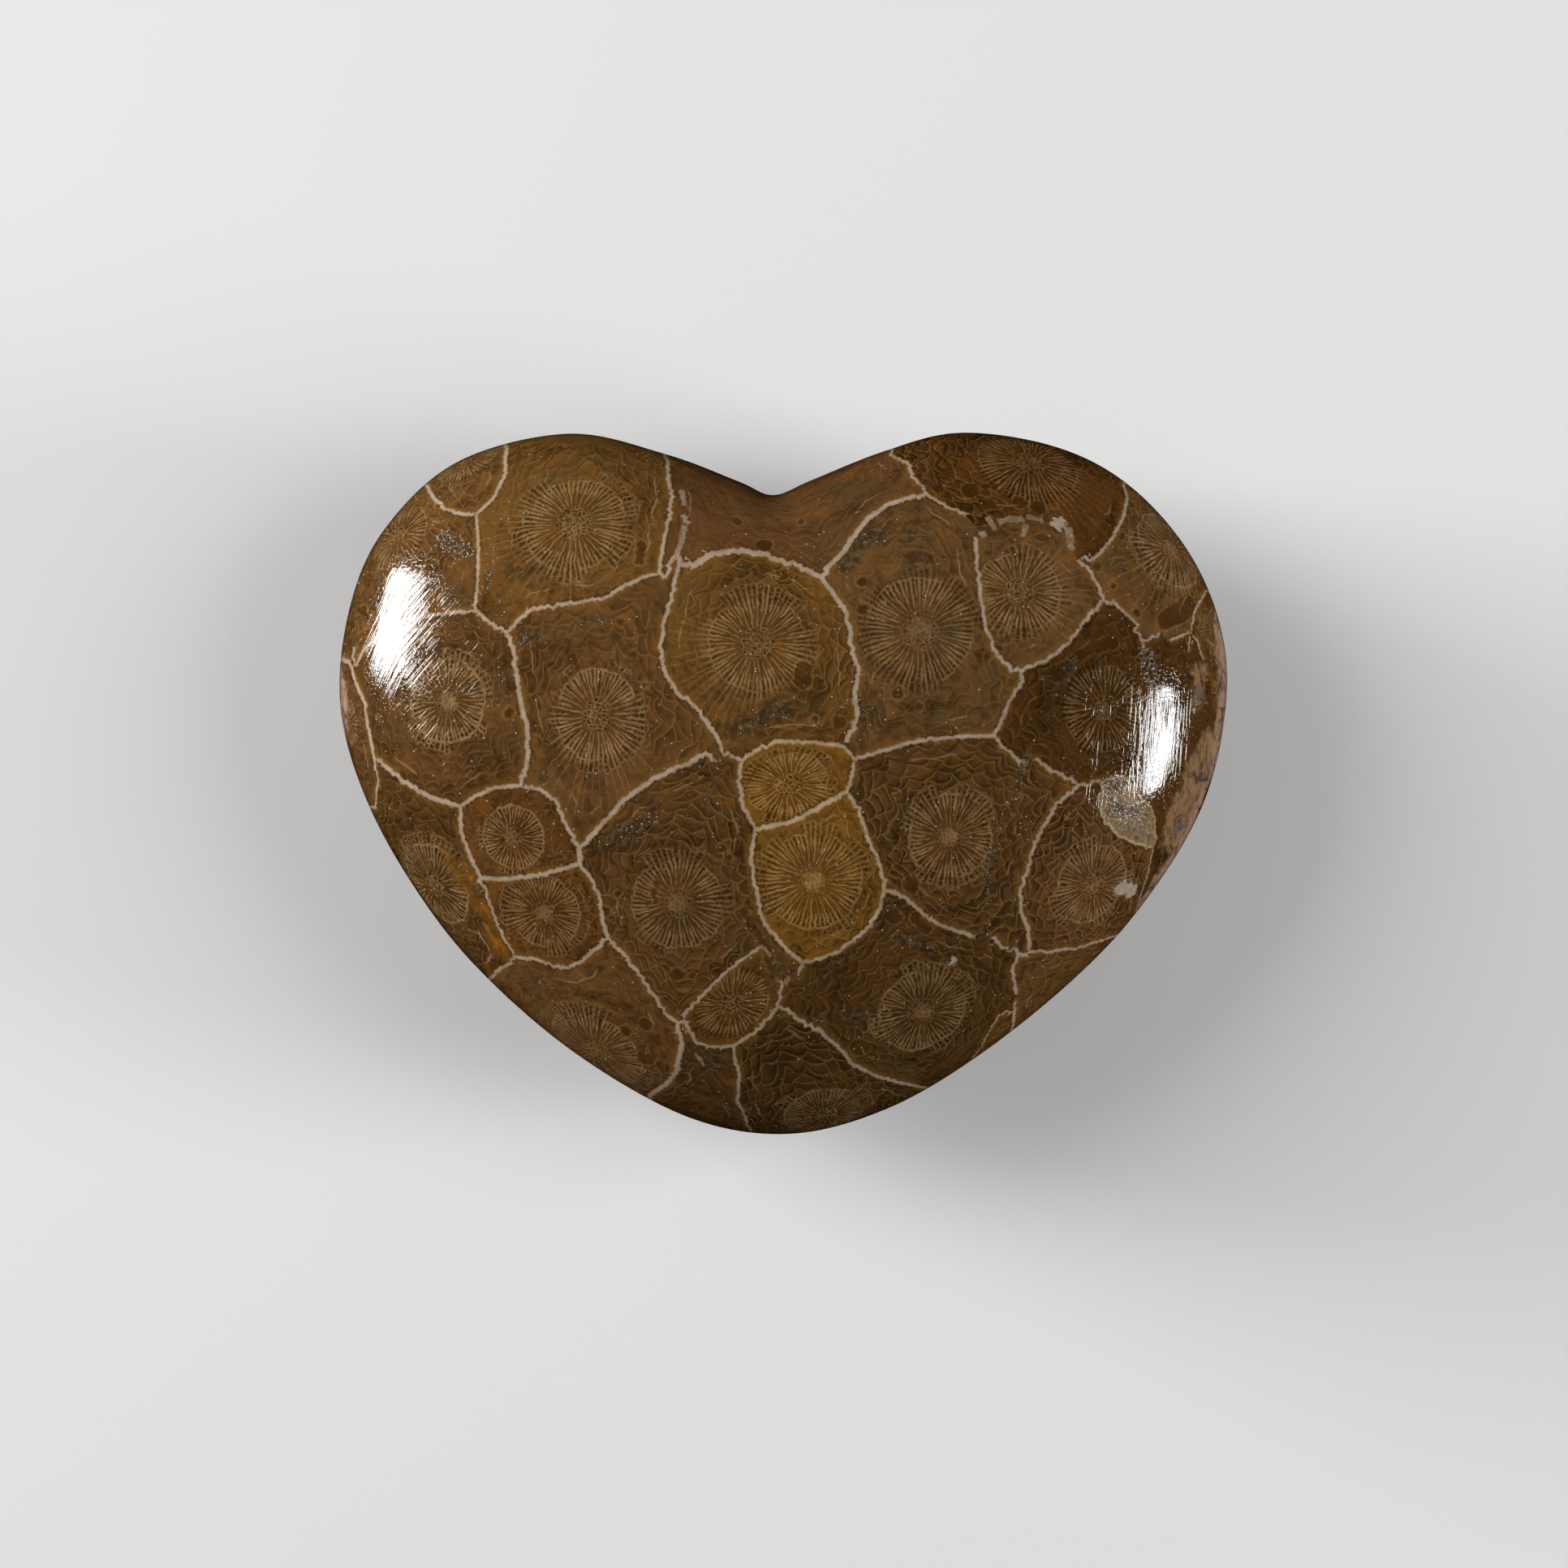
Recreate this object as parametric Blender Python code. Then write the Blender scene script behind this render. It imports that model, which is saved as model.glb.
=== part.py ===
"""Heart-shaped fossil coral, one piece of stone ground to a puffed heart and polished.

The heart lies on its back: +X runs across the lobes, +Y towards the cleft and +Z up
through the domed face. The origin is under the middle of the stone, on the surface
that it lies on. The solid is a ball made of six square grids, whose points are moved
out to the heart's outline and up to its two domes. The back is cut off flat where the
stone rests.
"""

import math

import bmesh
import bpy
import numpy as np
from mathutils import Vector

MM = 0.001

FRONT_DOME = 14.5 * MM  # height of the face above the widest line
BACK_DOME = 13.6 * MM  # depth of the back below the widest line, before the flat
FLAT_CUT = 0.45 * MM  # how much of the back is ground off as the resting flat
DOME_POWER = 2.2  # 2 gives an elliptical section, more a fuller one
DOME_MIDDLE = (0.0, 2.5)  # millimetres, where both domes are highest

# Points on the widest line, in millimetres, from the cleft round the right lobe to the
# tip and back up the left lobe. The two lobes differ a little, as ground by hand.
OUTLINE = [
    (-0.8, 22.6),
    (2.2, 23.8),
    (7.9, 26.1),
    (14.0, 27.6),
    (21.4, 26.5),
    (27.2, 23.5),
    (31.9, 18.3),
    (34.5, 12.2),
    (34.9, 6.0),
    (33.1, -1.7),
    (28.5, -9.4),
    (22.9, -15.5),
    (15.3, -21.6),
    (8.0, -25.8),
    (0.4, -27.7),
    (-7.4, -26.4),
    (-16.0, -21.6),
    (-23.2, -15.5),
    (-28.3, -9.4),
    (-32.7, -1.7),
    (-34.9, 6.0),
    (-34.2, 13.7),
    (-31.5, 19.9),
    (-25.7, 25.3),
    (-17.0, 27.5),
    (-9.3, 25.9),
    (-3.5, 23.7),
]
SPAN_STEPS = 12  # straight steps that each span of the outline is read in

GRID = 24  # squares along each side of the six grids
ANGLE_TABLE = 720  # directions for which the outline's radius is kept
SOFT_SPREAD = math.radians(26)  # how far round the cleft is smoothed away towards the middle
CLEFT_FADE = 3.0  # how fast the cleft fades from the widest line inwards

STONE_BROWN = (0.115, 0.062, 0.030, 1.0)
POLISH_ROUGHNESS = 0.18


def spline_point(before, start, end, after, t):
    """Point at t, from 0 to 1, on the smooth span between start and end."""
    weights = (
        -0.5 * t + t * t - 0.5 * t**3,
        1 - 2.5 * t * t + 1.5 * t**3,
        0.5 * t + 2 * t * t - 1.5 * t**3,
        -0.5 * t * t + 0.5 * t**3,
    )
    points = (before, start, end, after)
    x = sum(w * p[0] for w, p in zip(weights, points))
    y = sum(w * p[1] for w, p in zip(weights, points))
    return x, y


def outline_radii():
    """Outline radius about the dome's middle, in metres, for ANGLE_TABLE even directions."""
    count = len(OUTLINE)
    angles, radii = [], []
    for i in range(count):
        span = [OUTLINE[(i + k) % count] for k in (-1, 0, 1, 2)]
        for step in range(SPAN_STEPS):
            x, y = spline_point(*span, step / SPAN_STEPS)
            dx, dy = x - DOME_MIDDLE[0], y - DOME_MIDDLE[1]
            angles.append(math.atan2(dy, dx))
            radii.append(math.hypot(dx, dy) * MM)
    table = np.linspace(-math.pi, math.pi, ANGLE_TABLE, endpoint=False)
    return np.interp(table, angles, radii, period=2 * math.pi)


def softened(radii):
    """The same radii with the cleft smoothed away, for the rings near the middle."""
    step = 2 * math.pi / ANGLE_TABLE
    reach = int(2 * SOFT_SPREAD / step)
    total = np.zeros(ANGLE_TABLE)
    weight_sum = 0.0
    for shift in range(-reach, reach + 1):
        weight = math.exp(-0.5 * (shift * step / SOFT_SPREAD) ** 2)
        total += weight * np.roll(radii, shift)
        weight_sum += weight
    return total / weight_sum


def radius_at(table, angle):
    """Radius in the direction angle, read between the table's entries."""
    place = (angle + math.pi) / (2 * math.pi) * ANGLE_TABLE
    low = int(math.floor(place))
    share = place - low
    return table[low % ANGLE_TABLE] * (1 - share) + table[(low + 1) % ANGLE_TABLE] * share


def heart_point(direction, sharp, soft):
    """Moves a direction from the ball's middle to its place on the heart."""
    across = min(1.0, math.hypot(direction.x, direction.y))
    up = abs(direction.z)
    share = across ** (2 / DOME_POWER)
    angle = math.atan2(direction.y, direction.x)
    cleft = share**CLEFT_FADE
    radius = share * (cleft * radius_at(sharp, angle) + (1 - cleft) * radius_at(soft, angle))
    dome = FRONT_DOME if direction.z > 0 else -BACK_DOME
    return Vector(
        (
            DOME_MIDDLE[0] * MM + radius * math.cos(angle),
            DOME_MIDDLE[1] * MM + radius * math.sin(angle),
            dome * up ** (2 / DOME_POWER),
        )
    )


def heart_mesh():
    """The closed heart as a bmesh, standing on z = 0 with its box centred over the origin."""
    bm = bmesh.new()
    bmesh.ops.create_cube(bm, size=2.0)
    bmesh.ops.subdivide_edges(bm, edges=bm.edges[:], cuts=GRID - 1, use_grid_fill=True)
    sharp = outline_radii()
    soft = softened(sharp)
    for vertex in bm.verts:
        even = Vector(math.tan(c * math.pi / 4) for c in vertex.co)
        vertex.co = heart_point(even.normalized(), sharp, soft)

    base = -BACK_DOME + FLAT_CUT
    bmesh.ops.bisect_plane(
        bm,
        geom=bm.verts[:] + bm.edges[:] + bm.faces[:],
        dist=0.01 * MM,
        plane_co=(0, 0, base),
        plane_no=(0, 0, 1),
        clear_inner=True,
    )
    open_edges = [edge for edge in bm.edges if edge.is_boundary]
    bmesh.ops.holes_fill(bm, edges=open_edges, sides=len(open_edges))

    xs = [v.co.x for v in bm.verts]
    ys = [v.co.y for v in bm.verts]
    middle = Vector(((min(xs) + max(xs)) / 2, (min(ys) + max(ys)) / 2, base))
    bmesh.ops.translate(bm, verts=bm.verts[:], vec=-middle)
    bmesh.ops.recalc_face_normals(bm, faces=bm.faces[:])
    return bm


def stone_material():
    """Polished brown stone."""
    material = bpy.data.materials.new("fossil_coral")
    material.use_nodes = True
    shader = material.node_tree.nodes["Principled BSDF"]
    shader.inputs["Base Color"].default_value = STONE_BROWN
    shader.inputs["Roughness"].default_value = POLISH_ROUGHNESS
    shader.inputs["Metallic"].default_value = 0.0
    return material


def build():
    """Clears the scene and adds the stone."""
    for thing in list(bpy.data.objects):
        bpy.data.objects.remove(thing)
    bm = heart_mesh()
    mesh = bpy.data.meshes.new("coral_heart")
    bm.to_mesh(mesh)
    bm.free()
    mesh.shade_smooth()
    mesh.materials.append(stone_material())
    stone = bpy.data.objects.new("coral_heart", mesh)
    bpy.context.scene.collection.objects.link(stone)


build()
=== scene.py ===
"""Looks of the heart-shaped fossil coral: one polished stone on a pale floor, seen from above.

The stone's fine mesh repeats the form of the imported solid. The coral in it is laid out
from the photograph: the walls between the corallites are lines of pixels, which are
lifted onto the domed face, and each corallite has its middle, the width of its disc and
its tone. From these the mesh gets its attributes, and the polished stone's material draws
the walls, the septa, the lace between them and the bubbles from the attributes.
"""

import logging
import math
from dataclasses import dataclass, field
from enum import Enum

import bmesh
import bpy
import numpy as np
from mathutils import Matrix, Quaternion, Vector, kdtree, noise


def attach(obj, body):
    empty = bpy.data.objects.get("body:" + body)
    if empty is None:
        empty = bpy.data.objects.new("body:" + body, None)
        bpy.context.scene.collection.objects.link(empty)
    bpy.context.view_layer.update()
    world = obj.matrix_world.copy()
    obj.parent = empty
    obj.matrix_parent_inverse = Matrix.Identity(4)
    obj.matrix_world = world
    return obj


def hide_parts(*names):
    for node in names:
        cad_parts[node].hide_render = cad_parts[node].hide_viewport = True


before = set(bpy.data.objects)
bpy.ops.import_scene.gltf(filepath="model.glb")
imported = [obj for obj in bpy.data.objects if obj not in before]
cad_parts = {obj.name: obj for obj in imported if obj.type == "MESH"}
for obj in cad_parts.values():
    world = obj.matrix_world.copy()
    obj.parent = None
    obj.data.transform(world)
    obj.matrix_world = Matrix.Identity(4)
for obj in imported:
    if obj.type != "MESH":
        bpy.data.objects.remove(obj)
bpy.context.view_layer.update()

log = logging.getLogger("fossil_coral_heart")

MM = 0.001  # metres in a millimetre

PHOTO_PX = 1932  # width and height of the photograph
HEART_CENTRE_PX = (965.5, 965.0)  # middle of the heart's outline in the photograph
HEART_WIDTH_PX = 1093.0
HEART_WIDTH = 70.0  # millimetres
MM_PER_PX = HEART_WIDTH / HEART_WIDTH_PX
CAMERA_DISTANCE = 344.0  # millimetres from the lens to the stone's widest line
SENSOR_WIDTH = 36.0  # millimetres
FULL_TURN = 2 * math.pi

Array = np.ndarray
Pixel = tuple[float, float]


def length(vectors: Array) -> Array:
    """How long the vectors along the last axis are."""
    return np.linalg.norm(vectors, axis=-1)


def unit(vectors: Array) -> Array:
    """The same vectors with a length of 1."""
    return vectors / length(vectors)[..., None]


def radians_round(count: int) -> Array:
    """Even directions all round, from minus a half turn."""
    return np.linspace(-math.pi, math.pi, count, endpoint=False)


@dataclass(frozen=True)
class HeartForm:
    """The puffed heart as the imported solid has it, in millimetres.

    Args:
        front_dome: Height of the face above the widest line.
        back_dome: Depth of the back below it, before the flat.
        flat_cut: How much of the back is ground off.
        dome_power: 2 gives an elliptical section, more a fuller one.
        middle: Where both domes are highest.
        soft_spread: How far round the cleft is smoothed away, in radians.
        cleft_fade: How fast the cleft fades from the widest line inwards.
        span_steps: Steps of the curve between two points of the outline.
        table_size: Directions for which the outline's radius is kept.
        outline: Points on the widest line, from the cleft round the right lobe.
    """

    front_dome: float = 14.5
    back_dome: float = 13.6
    flat_cut: float = 0.45
    dome_power: float = 2.2
    middle: tuple[float, float] = (0.0, 2.5)
    soft_spread: float = math.radians(26)
    cleft_fade: float = 3.0
    span_steps: int = 12
    table_size: int = 720
    outline: tuple[tuple[float, float], ...] = (
        (-0.8, 22.6), (2.2, 23.8), (7.9, 26.1), (14.0, 27.6), (21.4, 26.5), (27.2, 23.5),
        (31.9, 18.3), (34.5, 12.2), (34.9, 6.0), (33.1, -1.7), (28.5, -9.4), (22.9, -15.5),
        (15.3, -21.6), (8.0, -25.8), (0.4, -27.7), (-7.4, -26.4), (-16.0, -21.6),
        (-23.2, -15.5), (-28.3, -9.4), (-32.7, -1.7), (-34.9, 6.0), (-34.2, 13.7),
        (-31.5, 19.9), (-25.7, 25.3), (-17.0, 27.5), (-9.3, 25.9), (-3.5, 23.7),
    )

    def widest_z(self) -> float:
        """Height of the widest line above the surface that the stone lies on."""
        return self.back_dome - self.flat_cut

    def sharp_radii(self) -> Array:
        """Outline radius about the middle, on a curve through the outline's points.

        Returns:
            One radius for each of even directions from minus a half turn.
        """
        count = len(self.outline)
        angles, radii = [], []
        for i in range(count):
            p = [np.array(self.outline[(i + k) % count]) for k in (-1, 0, 1, 2)]
            for step in range(self.span_steps):
                t = step / self.span_steps
                weights = (
                    -0.5 * t + t * t - 0.5 * t**3,
                    1 - 2.5 * t * t + 1.5 * t**3,
                    0.5 * t + 2 * t * t - 1.5 * t**3,
                    -0.5 * t * t + 0.5 * t**3,
                )
                x, y = sum(w * q for w, q in zip(weights, p)) - np.array(self.middle)
                angles.append(math.atan2(y, x))
                radii.append(math.hypot(x, y))
        return np.interp(radians_round(self.table_size), angles, radii, period=FULL_TURN)

    def soft_radii(self, sharp: Array) -> Array:
        """The same radii with the cleft smoothed away.

        Args:
            sharp: The radii of sharp_radii.

        Returns:
            One radius for each of the same directions.
        """
        step = FULL_TURN / self.table_size
        reach = int(2 * self.soft_spread / step)
        shifts = range(-reach, reach + 1)
        weights = [math.exp(-0.5 * (s * step / self.soft_spread) ** 2) for s in shifts]
        total = sum(w * np.roll(sharp, s) for w, s in zip(weights, shifts))
        return total / sum(weights)


class HeartSurface:
    """Finds places on the heart's face and back, in millimetres in the row's frame."""

    farthest_share: float = 1.5  # how far outside the outline a place is still looked for
    halvings: int = 30
    lift_rounds: int = 8

    def __init__(self, form: HeartForm) -> None:
        """Keeps the form's radius tables and centres its outline over the origin.

        Args:
            form: The form.
        """
        self.form = form
        self.sharp = form.sharp_radii()
        self.soft = form.soft_radii(self.sharp)
        even = radians_round(form.table_size)
        outline = np.stack([np.cos(even), np.sin(even)]) * self.sharp + np.array([form.middle]).T
        self.shift = (outline.min(axis=1) + outline.max(axis=1)) / 2

    def radius(self, angle: Array, share: Array) -> Array:
        """Distance from the middle to the ring at a share of the way out.

        Args:
            angle: Directions in radians.
            share: 0 at the middle and 1 on the widest line.

        Returns:
            The distances in millimetres.
        """
        size = self.form.table_size
        place = (angle + math.pi) / FULL_TURN * size
        low = np.floor(place).astype(int)
        part = place - low
        sharp, soft = (table[low % size] * (1 - part) + table[(low + 1) % size] * part
                       for table in (self.sharp, self.soft))
        cleft = np.clip(share, 0, 1) ** self.form.cleft_fade
        return share * (cleft * sharp + (1 - cleft) * soft)

    def point(self, angle: Array, share: Array, front: Array) -> Array:
        """Places on the stone.

        Args:
            angle: Directions in radians about the domes' middle.
            share: 0 at the middle and 1 on the widest line.
            front: True on the face, False on the back.

        Returns:
            One row of x, y and z for each place.
        """
        form = self.form
        radius = self.radius(angle, share)
        up = np.clip(1 - share**form.dome_power, 0, 1) ** (1 / form.dome_power)
        dome = np.where(front, form.front_dome, -form.back_dome)
        z = np.maximum(dome * up, -form.back_dome + form.flat_cut) + form.widest_z()
        x = form.middle[0] + radius * np.cos(angle) - self.shift[0]
        y = form.middle[1] + radius * np.sin(angle) - self.shift[1]
        return np.stack([x, y, z], axis=-1)

    def share_of(self, x: Array, y: Array) -> tuple[Array, Array]:
        """Direction and share of the way out of places seen from above.

        Args:
            x: Places across, in millimetres.
            y: Places along, in millimetres.

        Returns:
            The directions in radians and the shares, which pass 1 outside the outline.
        """
        dx = x + self.shift[0] - self.form.middle[0]
        dy = y + self.shift[1] - self.form.middle[1]
        angle, distance = np.arctan2(dy, dx), np.hypot(dx, dy)
        low, high = np.zeros_like(distance), np.full_like(distance, self.farthest_share)
        for _ in range(self.halvings):
            half = (low + high) / 2
            inside = self.radius(angle, half) < distance
            low, high = np.where(inside, half, low), np.where(inside, high, half)
        return angle, (low + high) / 2

    def lift(self, pixels: Array) -> Array:
        """Puts pixels of the photograph on the stone.

        A pixel outside the outline goes round the edge onto the back by as much.

        Args:
            pixels: One row of x and y for each pixel.

        Returns:
            One row of x, y and z for each, in millimetres.
        """
        x = (pixels[:, 0] - HEART_CENTRE_PX[0]) * MM_PER_PX
        y = (HEART_CENTRE_PX[1] - pixels[:, 1]) * MM_PER_PX
        points = self.point(*self.share_of(x, y), np.ones(len(x), bool))
        for _ in range(self.lift_rounds):
            nearer = 1 - (points[:, 2] - self.form.widest_z()) / CAMERA_DISTANCE
            angle, share = self.share_of(x * nearer, y * nearer)
            front = share <= 1
            points = self.point(angle, np.where(front, share, 2 - share), front)
        return points

    def normal(self, points: Array) -> Array:
        """Outward directions at places on the stone.

        Args:
            points: One row of x, y and z for each, on the stone.

        Returns:
            Unit vectors, one row for each.
        """
        small, margin = 0.02, 0.001
        front = points[:, 2] >= self.form.widest_z()
        dome = np.where(front, self.form.front_dome, self.form.back_dome)
        angle, share = self.share_of(points[:, 0], points[:, 1])
        share = np.clip(share, margin, 1 - margin)
        _, share_x = self.share_of(points[:, 0] + small, points[:, 1])
        _, share_y = self.share_of(points[:, 0], points[:, 1] + small)
        slope = np.stack([share_x - share, share_y - share], axis=-1) / small
        power = self.form.dome_power
        up = (1 - share**power) ** (1 / power)
        steep = (dome * share ** (power - 1) * up ** (1 - power))[:, None] * slope
        vectors = np.concatenate([steep, np.where(front, 1.0, -1.0)[:, None]], axis=1)
        return unit(vectors)


class Tone(Enum):
    """The stone's colour in a corallite, as factors on the common brown."""

    BROWN = (1.0, 1.0, 1.0)
    GOLD = (1.38, 1.30, 0.78)
    HONEY = (1.10, 1.10, 0.92)
    BEIGE = (1.05, 1.10, 1.20)
    PINK = (0.92, 0.90, 1.00)
    RUSSET = (0.74, 0.66, 0.52)
    UMBER = (0.56, 0.52, 0.45)
    DUSK = (0.84, 0.84, 0.84)
    TAN = (0.84, 0.75, 0.64)
    PEAT = (0.66, 0.66, 0.62)
    OCHRE = (0.85, 0.84, 0.68)
    # Grey matrix, partly painted highlight: the real grey matrix, lightened and greyed further to
    # stand in for the sparkle of the lamp's reflection beside it.
    GREY_MATRIX_AND_SPARKLE = (1.85, 2.8, 6.0)


@dataclass(frozen=True)
class Corallite:
    """One coral cup, cut across.

    Args:
        middle: Its middle in the photograph, in pixels.
        disc: Radius of its disc of septa, in pixels.
        tone: The stone's colour in it.
        septa: How many septa there are, an even number.
        core: 0 for an open web in the middle, 1 for a pale solid knot.
        ring: How bright the disc and the lace round it are, from 0 to 1.
        bubbles: How plainly the bubbles show, from 0 to 1.
        oval: Width over height of the disc, and the way its width lies, in degrees.
        fan: Which way the septa run on past the disc, in degrees, or None.
    """

    middle: Pixel
    disc: float
    tone: Tone = Tone.BROWN
    septa: int = 38
    core: float = 0.3
    ring: float = 0.4
    bubbles: float = 0.7
    oval: tuple[float, float] = (1.0, 0.0)
    fan: float | None = None

    def fan_turn(self) -> float:
        """The fan's direction as a share of a turn of the disc, or -1 for no fan."""
        return -1.0 if self.fan is None else ((self.fan - self.oval[1]) / 360 + 0.5) % 1.0


@dataclass(frozen=True)
class Wall:
    """One stretch of wall between two corallites, as a line of pixels.

    Args:
        sides: Names of the two corallites.
        line: Points along the wall in the photograph.
        half: Half of the wall's width, in millimetres, or 0 where no wall shows.
        over_edge: Whether it starts or ends on the outline and runs on down the side.
    """

    sides: tuple[str, str]
    line: tuple[Pixel, ...]
    half: float = 0.17
    over_edge: bool = False


@dataclass(frozen=True)
class Stroke:
    """A band along a line of pixels: a loose piece of wall, which parts nothing, or a mark.

    Args:
        half: Half of its width, in pixels.
        line: Points along its middle in the photograph.
    """

    half: float
    line: tuple[Pixel, ...]


def strokes(*rows: tuple) -> tuple[Stroke, ...]:
    """Strokes from rows of half a width and the points after it."""
    return tuple(Stroke(half, tuple(line)) for half, *line in rows)


FACE = {
    "A": Corallite((575, 568), 40, Tone.BROWN, 48, 0.5, 0.3, 0.6),
    "B": Corallite((707, 644), 62, Tone.HONEY, 62, 0.2, 0.6, 0.5, fan=225),
    "C": Corallite((550, 864), 50, Tone.DUSK, 52, 1.0, 1.0, 0.5),
    "D": Corallite((735, 881), 52, Tone.BROWN, 56, 0.1, 0.7, 0.45, (0.87, 0), -90),
    "E": Corallite((933, 792), 58, Tone.HONEY, 62, 0.2, 0.5, 0.7, fan=215),
    "F": Corallite((1134, 776), 64, Tone.BEIGE, 62, 0.6, 0.4, 0.4),
    "G": Corallite((1256, 729), 50, Tone.BEIGE, 50, 0.2, 0.5, 0.4, (1.1, 0), 0),
    "H": Corallite((1267, 570), 62, Tone.RUSSET, 58, 0.3, 0.3, 1.0, fan=-60),
    "I": Corallite((1443, 676), 52, Tone.BEIGE, 50, 0.7, 0.7, 0.6, fan=225),
    "J": Corallite((1361, 874), 52, Tone.UMBER, 52, 0.4, 0.3, 0.7),
    # K's tone is partly painted highlight: it stands in for the sparkle at the foot of the right
    # lamp's reflection.
    "K": Corallite((1395, 1000), 9, Tone.GREY_MATRIX_AND_SPARKLE, 28, 0.3, 0.3, 1.0),
    "L": Corallite((1347, 1090), 50, Tone.PINK, 54, 0.4, 0.85, 0.9),
    "M": Corallite((1171, 1031), 50, Tone.DUSK, 54, 1.0, 0.9, 1.0),
    "N": Corallite((971, 967), 42, Tone.GOLD, 50, 0.0, 0.5, 0.4, (1.3, 15)),
    "O": Corallite((1002, 1086), 57, Tone.GOLD, 60, 1.0, 0.55, 0.6),
    "P": Corallite((835, 1113), 55, Tone.DUSK, 56, 0.8, 0.5, 0.9),
    "Q": Corallite((631, 1032), 39, Tone.TAN, 48, 0.6, 0.7, 0.5),
    "R": Corallite((670, 1125), 46, Tone.TAN, 56, 0.7, 0.55, 0.6),
    "S": Corallite((535, 1090), 54, Tone.PEAT, 54, 0.3, 1.0, 0.7),
    "T": Corallite((733, 1295), 63, Tone.BROWN, 62, 0.4, 0.5, 0.3, fan=-90),
    "U": Corallite((901, 1236), 44, Tone.OCHRE, 48, 0.2, 0.3, 0.6, (1.25, 40)),
    "V": Corallite((1137, 1247), 54, Tone.PEAT, 58, 0.7, 1.0, 0.9),
    "W": Corallite((1016, 1373), 49, Tone.PEAT, 56, 0.3, 0.75, 1.0),
    "X": Corallite((1228, 1288), 18, Tone.BROWN, 28, 0.3, 0.3, 0.6),
    "Y": Corallite((1312, 1225), 34, Tone.BROWN, 38, 0.3, 0.1, 0.8),
    "Z": Corallite((955, 604), 40, Tone.PINK, 46, 0.2, 0.1, 0.2),
    "left top": Corallite((490, 660), 45, Tone.BROWN, 44, 0.4, 0.2, 0.6),
    "left edge": Corallite((428, 890), 30, Tone.PINK, 34, 0.4, 0.2, 0.5),
    "low edge": Corallite((872, 1385), 30, Tone.DUSK, 38, 0.4, 0.2, 0.8),
    "right edge": Corallite((1492, 775), 20, Tone.DUSK, 32, 0.3, 0.5, 0.5),
    "rind": Corallite((1478, 935), 12, Tone.UMBER, 24, 0.2, 0.0, 0.2),
}

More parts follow.
